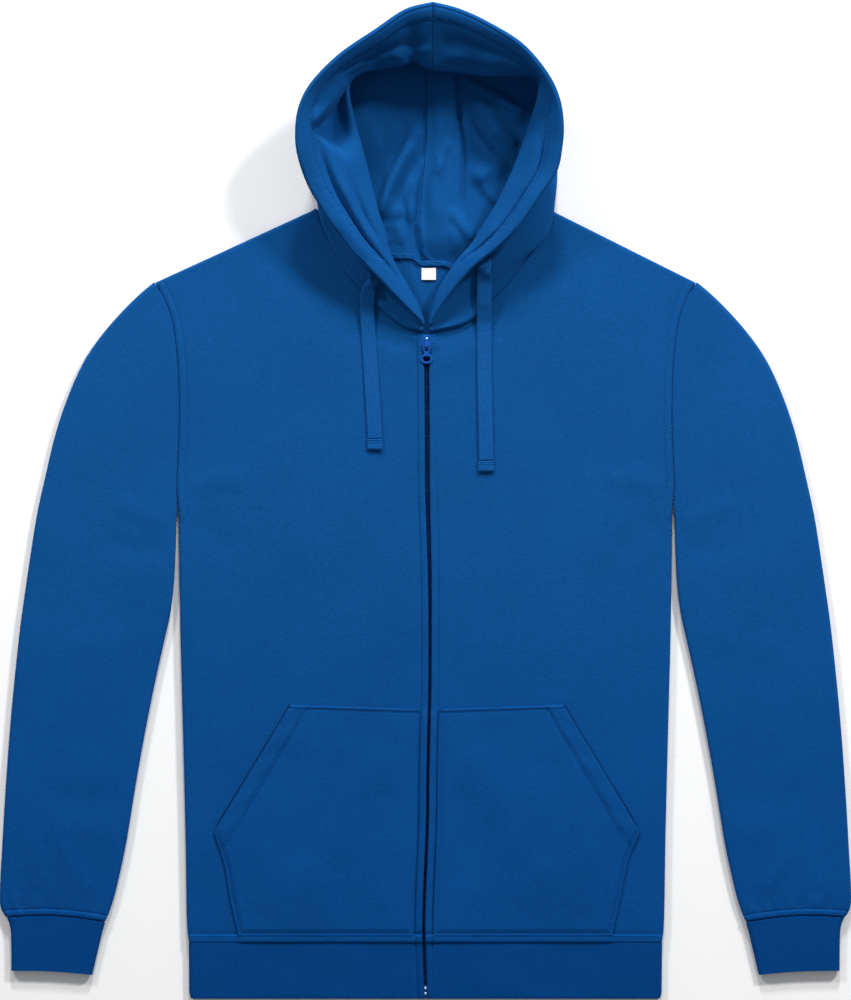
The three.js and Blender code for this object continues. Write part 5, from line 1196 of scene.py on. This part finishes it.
def makeHood(name):
    rows = hoodRows[name]
    last = len(rows) - 1
    clear = hood["clear"] * np.maximum(0, 1 - np.abs(np.arange(last + 1) - 6) / 2.2)
    frontRows = towardsNeck(frontNeck[name], 0.15 + clear[:7])
    backRows = towardsNeck(backNeck[name][1:], clear[7:]) + [0, 0.15]
    neckRows = np.concatenate([frontRows, backRows])
    ends = [0.008, 0.03, 0.06, last - 0.06, last - 0.03, last - 0.008]
    place = np.unique(np.concatenate([np.linspace(0, last, 14 * 13 + 1), ends]))
    t = place / last
    value = through(rows, t)
    if name == "left":
        value[:, 4] += 5.0 * bell(place, 13.1, 0.3)
    # both halves meet on the middle line at the centre seam
    for column in (0, 3, 6):
        value[-1, column] = 6.5
    rim, fold, under, neckZ = value[:, 0:3], value[:, 3:6], value[:, 6:9], value[:, 9]
    neck = np.concatenate([through(neckRows, t), neckZ[:, None]], 1)
    reach = np.linalg.norm(rim - fold, axis=1)
    up = np.array([0, 0, 1.0])
    hem = rim + (fold - rim) * 0.16 + up * (0.05 * reach)[:, None]
    flap = rim + (fold - rim) * 0.5 + up * (0.06 * reach)[:, None]
    hidden = fold + (under - fold) * 0.62
    hidden[:, 2] += 1.5 * smooth(t * 2)
    collar = neck.copy()
    inward = hood["middle"] - neck[:, :2]
    collar[:, :2] += inward / np.linalg.norm(inward, axis=1, keepdims=True)
    collar[:, 2] += hood["collar"]
    low = under + (neck - under) * 0.16
    low[:, 2] = cloth["back"] + 0.4
    middle = under + (neck - under) * 0.55
    middle[:, 2] = cloth["back"]
    onBack = smooth((t - hood["hip"]) * 14 + 0.5)[:, None]
    lastPoint = collar + (middle - collar) * onBack
    before = under + (collar - under) * 0.5
    before = before + (low - before) * onBack
    control = np.stack([rim, hem, flap, fold, hidden, under, before, lastPoint, neck], 1)
    s = np.unique(np.concatenate([
        [0, 0.0015, 0.005, 0.011, 0.018], np.linspace(0.025, 0.34, 40), np.linspace(0.34, 0.41, 14),
        np.linspace(0.41, 0.58, 16), np.linspace(0.58, 0.68, 14), np.linspace(0.68, 0.98, 56),
        [0.985, 0.99, 0.994, 0.9975, 1.0]]))
    grid = splineAcross(control, s)
    grid[..., 2] = np.maximum(grid[..., 2], cloth["back"])
    # distances over the cloth from the rim and from the neck seam
    stepLength = np.linalg.norm(np.diff(grid, axis=1), axis=-1)
    fromRim = np.concatenate([np.zeros((len(t), 1)), np.cumsum(stepLength, axis=1)], 1)
    fromNeck = fromRim[:, -1:] - fromRim
    foldColumn = np.abs(s - 0.375).argmin()
    flapLength = fromRim[:, foldColumn : foldColumn + 1]
    q = np.clip((fromRim - hood["hem"]) / np.maximum(flapLength - hood["hem"], 4), 0, 1)
    rowPlace = place[:, None] * np.ones_like(fromRim)
    size = smooth((flapLength - 12) / 20)
    sag = np.zeros_like(fromRim)
    if name == "left":
        # the pit under the flap's upper left edge, and creases beside the hem
        browRows = np.array([(-68.0, 381.0), (-78.0, 365.0), (-90.0, 349.0), (-104.0, 334.0)])
        brow = byLength(browRows, np.linspace(0, 1, 30))
        away, along = placeOn(brow, grid)
        at = byLength(brow, along)
        below = away * np.sign((grid[..., 0] - at[..., 0]) - (grid[..., 1] - at[..., 1]))
        pit = smooth(below / 3.5) * (1 - smooth((below - 10) / 44))
        pit *= smooth(along / 0.12 + 0.3) * smooth((1 - along) / 0.12 + 0.2)
        pit *= smooth((rowPlace - 5.5) / 2) * (1 - smooth((q - 0.62) / 0.36)) * smooth((fromRim - 12) / 5)
        sag -= (22 - 6 * smooth((q - 0.4) / 0.3)) * pit
        overBrow = 3.5 * (1 - smooth(-below / 14)) * (below < 0) * smooth((fromRim - 10) / 6)
        sag += overBrow * smooth(along / 0.2) * smooth((1 - along) / 0.2)
        sag -= 4.5 * bell(q, 0.12, 0.09) * smooth((8 - rowPlace) / 2) * smooth((rowPlace - 1.2) / 1.2)
        sag += 3.4 * bell(q, 0.33, 0.10) * smooth((7 - rowPlace) / 2) * smooth((rowPlace - 2) / 1.5)
        sag -= 3.6 * bell(q, 0.52, 0.09) * smooth((6.5 - rowPlace) / 2) * smooth((rowPlace - 2.5) / 1.5)
        sag += 1.6 * bell(rowPlace, 12.4, 0.35) * smooth(q * 1.4) - 1.6 * bell(rowPlace, 11.7, 0.35) * smooth(q * 1.6)
        sag -= 3.0 * bell(q, 0.35 + 0.05 * (rowPlace - 12), 0.12) * shelf(rowPlace, 10.4, 13.4, 1)
    else:
        sag -= 2.6 * bell(q, 0.1, 0.08) * smooth((9 - rowPlace) / 2) * smooth((rowPlace - 1.2) / 1.2)
        sag += 1.8 * bell(q, 0.5, 0.25) * shelf(rowPlace, 3, 8, 2)
        sag -= 2.0 * bell(q, 0.3, 0.12) * shelf(rowPlace, 10.4, 13.2, 1)
        sag += 1.5 * bell(rowPlace, 11.2, 0.4) * smooth(q * 1.4) - 1.4 * bell(rowPlace, 12.3, 0.35) * smooth(q * 1.5)
        sag -= 1.8 * bell(rowPlace, 9.6, 0.3) * smooth(q * 1.4)
    sag += 0.8 * wander(grid[..., 0] * 2.6, grid[..., 1] * 2.6, 17) * smooth(q * 2)
    for line, wide, high in flapCreases[name]:
        sag += 0.75 * crease(grid, line, wide, high, 0.25)
    for line, wide, high in flapFolds[name]:
        sag += 0.7 * overlap(grid, line, wide, high)
    fadeFold = 1 - smooth((s - 0.36) / 0.05)
    grid[..., 2] += sag * fadeFold[None] * size * (fromRim > 0)
    # the layer on the floor, drawn a little to the left at the centre seam
    onFloor = smooth((s - 0.70) / 0.08)[None] * onBack
    x, y = grid[..., 0], grid[..., 1]
    nearNeck = smooth(fromNeck / 10)
    relief = hoodFloorRelief(grid) * onFloor * nearNeck
    drawn = np.interp(y, [212, 225, 248, 270, 302, 330, 382], [0.7, 8.0, 11.5, 10.5, 7.9, 5.2, 5.2])
    grid[..., 0] -= drawn * onFloor * nearNeck * np.clip(1 - np.abs(x - 6.5) / 80, 0, 1)
    grid[..., 2] += np.maximum(relief, 0)
    hemUp = 0.9 * shelf(fromRim, 1.0, hood["hem"] - 2.4, 3.4) - 0.6 * bell(fromRim, hood["hem"], 1.0)
    hemUp -= 0.45 * bell(fromRim, 3.8, 0.9) * smooth((rowPlace - 8) / 2)
    hemUp += 0.1 * np.sin(rowPlace * 23) * bell(fromRim, hood["hem"] - 4, 4)
    rowRun = np.minimum(place, last - place)[:, None] * 28
    thick = np.minimum(roundOff(np.minimum(fromRim, fromNeck)), roundOff(rowRun, 0.7))
    thick[[0, -1]] = 0
    thick[:, [0, -1]] = 0
    rimFat = 1.0 * (1 - smooth((fromRim - 9) / 9)) * smooth(fromRim / 1.4) * smooth(rowRun / 6)
    hemSide = hemUp * smooth(fromRim / 1.5) * smooth(rowRun / 4) * (1 - smooth((s - 0.3) / 0.06))[None] * size
    normal = normalsOf(grid)
    # the flap's own side that faces up carries the hem's relief
    if normal[len(t) // 2, 10, 2] < 0:
        upSide, downSide = thick + rimFat * 0.6, thick + rimFat * 0.6 + hemSide
    else:
        upSide, downSide = thick + rimFat * 0.6 + hemSide, thick + rimFat * 0.6
    piece, _ = sheetMesh(f"hood-{name}", grid, upSide, downSide, fleece)
    dress(piece, f"hood_{name}")
    # stitches on the hem's inner line
    face = -1 if normal[len(t) // 2, 10, 2] < 0 else 1
    sewn = (flapLength[:, 0] > hood["hem"] + 4) & ((np.abs(place - 9.6) > 0.8) | (name == "right"))
    rowsWith = np.where(sewn)[0]
    line, normals = [], []
    for k in rowsWith:
        j = np.searchsorted(fromRim[k], hood["hem"] - 1.2)
        amount = (downSide if face < 0 else upSide)[k, j]
        line.append(grid[k, j] + face * normal[k, j] * amount)
        normals.append(face * normal[k, j])
    stitch(np.array(line), np.array(normals), pitch=3.5, length=2.3, wide=0.85, high=0.85)
    return piece


hoods = {name: makeHood(name) for name in ("left", "right")}
print("hood")


# Neck tape and label.
neckTape = dict(length=159, width=5.2, z=3.2, stitchZ=4.75)


def makeNeckTape():
    length, width = neckTape["length"], neckTape["width"]
    rows = np.concatenate([backNeck["left"], backNeck["right"][::-1][1:]])
    t = steps(length, 1.6, reach=3)
    line = smoothLine(rows, 0.16 + 0.70 * t)
    x = line[:, 0]
    line[:, 1] += 2.2 * (bell(x, -14, 7) - bell(x, -3, 5) + bell(x, 17, 7)) * smooth(np.minimum(t, 1 - t) * 8)
    w = steps(width, 0.4, reach=1.4, fine=0.3)
    offset = (w - 0.5) * width
    z = np.full((len(t), len(w)), neckTape["z"])
    grid = np.stack([line[:, None, 0] + 0 * offset, line[:, None, 1] + offset, z], -1)
    d = np.minimum(np.minimum(t, 1 - t)[:, None] * length, np.minimum(w, 1 - w)[None] * width)
    thick = roundOff(d, 0.5, 0.4)
    run = t * length
    pucker = (0.3 * np.sin(run * 1.7) + 0.35 * np.sin(run * 0.61 + 2 * np.sin(run / 9)))[:, None] * smooth(d / 0.8)
    hump = 1.2 * smooth(d / 1.4) + 1.2 * pucker
    grid = grid[:, ::-1] if normalsOf(grid)[..., 2].mean() < 0 else grid
    piece, _ = sheetMesh("neck-tape", grid, thick + hump, thick, fleece)
    dress(piece, "neck_tape")
    for way in (-1, 1):
        row = line + [0, way * 1.7]
        points = np.concatenate([row, np.full((len(row), 1), neckTape["stitchZ"])], 1)[3:-3]
        stitch(points, np.tile([0, 0, 1.0], (len(points), 1)), pitch=2.6, length=2.1)
    return piece


label = dict(left=-3.6, bottom=200.8, width=13, height=10.8)


def makeLabel():
    width, height = label["width"], label["height"]
    u, v = steps(width, 0.7, reach=1.5, fine=0.3), steps(height, 0.7, reach=1.5, fine=0.3)
    x = label["left"] + width * u[None] * np.ones((len(v), 1))
    y = label["bottom"] + height * v[:, None] * np.ones((1, len(u)))
    z = 3.05 + 0.75 * np.sin(math.pi * u)[None] * (1 - v)[:, None] + 0.4 * (1 - v)[:, None]
    d = np.minimum(np.minimum(u, 1 - u)[None] * width, np.minimum(v, 1 - v)[:, None] * height)
    thick = roundOff(d, 0.3, 0.25)
    grid = np.stack([x, y, z], -1)
    if normalsOf(grid)[..., 2].mean() < 0:
        grid, thick = grid[:, ::-1], thick[:, ::-1]
    piece, _ = sheetMesh("label-cloth", grid, thick, thick, labelWeave)
    return dress(piece, "label")


makeNeckTape()
makeLabel()
print("neck tape and label")


# Zip.
zipParts = dict(bottom=-432.6, length=578.0, tape=11.5, tapeZ=4.15, pitch=1.36, toothZ=5.2, toothX=0.72,
                beads=(-435.6, -440.4))


def makeZipTape(name):
    side = -1 if name == "left" else 1
    length, width = zipParts["length"], zipParts["tape"]
    v = steps(length, 4, reach=1.5)
    w = np.array([0, 0.05, 0.15, 0.4, 0.7, 0.9, 0.97, 1.0])
    y = zipParts["bottom"] + length * v
    x = zipAt(y)[:, None] + side * (0.5 + width * w)[None]
    grid = np.stack([x, y[:, None] + 0 * x, np.full_like(x, zipParts["tapeZ"])], -1)
    d = np.minimum(np.minimum(v, 1 - v)[:, None] * length, np.minimum(w, 1 - w)[None] * width)
    thick = roundOff(d, 0.3, 0.25)
    if normalsOf(grid)[..., 2].mean() < 0:
        grid, thick = grid[:, ::-1], thick[:, ::-1]
    piece, _ = sheetMesh(f"zip-tape-{name}", grid, thick, thick, tapeWeave)
    return dress(piece, f"zip_tape_{name}")


# Two rows of coil teeth that lean towards each other, one half pitch apart.
def makeTeeth():
    pitch = zipParts["pitch"]
    y = np.arange(-432.2, 145.2, pitch)
    shape, faces = grain(2.6, 0.9, 1.3, sides=6)
    points, allFaces = [], []
    for side in (-1, 1):
        rows = y + (pitch / 2 if side > 0 else 0)
        places = np.stack([zipAt(rows) + side * zipParts["toothX"], rows, np.full_like(rows, zipParts["toothZ"])], -1)
        ways = np.stack([np.full_like(rows, 1.0), np.full_like(rows, side * 0.22), np.zeros_like(rows)], -1)
        some, shapes = copies(shape, faces, places, ways, np.tile([0, 0, 1.0], (len(rows), 1)))
        allFaces += [[k + sum(len(p) for p in points) for k in face] for face in shapes]
        points.append(some)
    piece = addMesh("zip-chain", np.concatenate(points), allFaces, toothPlastic)
    return dress(piece, "zip_chain")


# A hard piece with its edges rounded: the flat faces are joined and every sharp edge is bevelled.
def softenedCopy(nodeName, width, material, body):
    source = bpy.data.objects[nodeName]
    work = bmesh.new()
    work.from_mesh(source.data)
    bmesh.ops.remove_doubles(work, verts=work.verts, dist=1e-6)
    bmesh.ops.dissolve_limit(work, angle_limit=0.03, verts=work.verts, edges=work.edges)
    mesh = bpy.data.meshes.new(nodeName + " look")
    work.to_mesh(mesh)
    work.free()
    mesh.materials.clear()
    mesh.materials.append(material)
    piece = bpy.data.objects.new(nodeName.replace("_", "-") + "-look", mesh)
    scene.collection.objects.link(piece)
    bevel = piece.modifiers.new("edges", "BEVEL")
    bevel.width = width
    bevel.segments = 3
    bevel.limit_method = "ANGLE"
    bevel.angle_limit = math.radians(32)
    mesh.polygons.foreach_set("use_smooth", [True] * len(mesh.polygons))
    normals = piece.modifiers.new("normals", "WEIGHTED_NORMAL")
    normals.keep_sharp = True
    return dress(piece, nodeName, body)


for name in ("left", "right"):
    makeZipTape(name)
makeTeeth()
softenedCopy("zip_slider", 0.00028, paint, "garment")
softenedCopy("zip_pull", 0.0003, paint, "pull_tab")
stop = softenedCopy("zip_stop", 0.0005, stopPlastic, "garment")
stopTop = max(corner.co.z for corner in stop.data.vertices) * 1000
# painted highlight: two small pale beads on top of the stop stand in for glints on it
beadShape, beadFaces = grain(2.5, 2.1, 1.3, sides=10)
beadPlaces = np.array([(zipAt(y), y, stopTop) for y in zipParts["beads"]])
beadWay, beadUp = np.tile([0, 1.0, 0], (2, 1)), np.tile([0, 0, 1.0], (2, 1))
beadPoints, beadFaces = copies(beadShape, beadFaces, beadPlaces, beadWay, beadUp)
beads = addMesh("zip-stop-painted-glints", beadPoints, beadFaces, paintedGlintMetal)
dress(beads)
print("zip")


# All stitches in one piece.
points, faces, start = [], [], 0
for some, shapes in stitchRuns:
    points.append(some)
    faces += [[k + start for k in face] for face in shapes]
    start += len(some)
stitches = addMesh("stitches", np.concatenate(points), faces, threadMaterial)
dress(stitches)
print("stitches", len(faces))
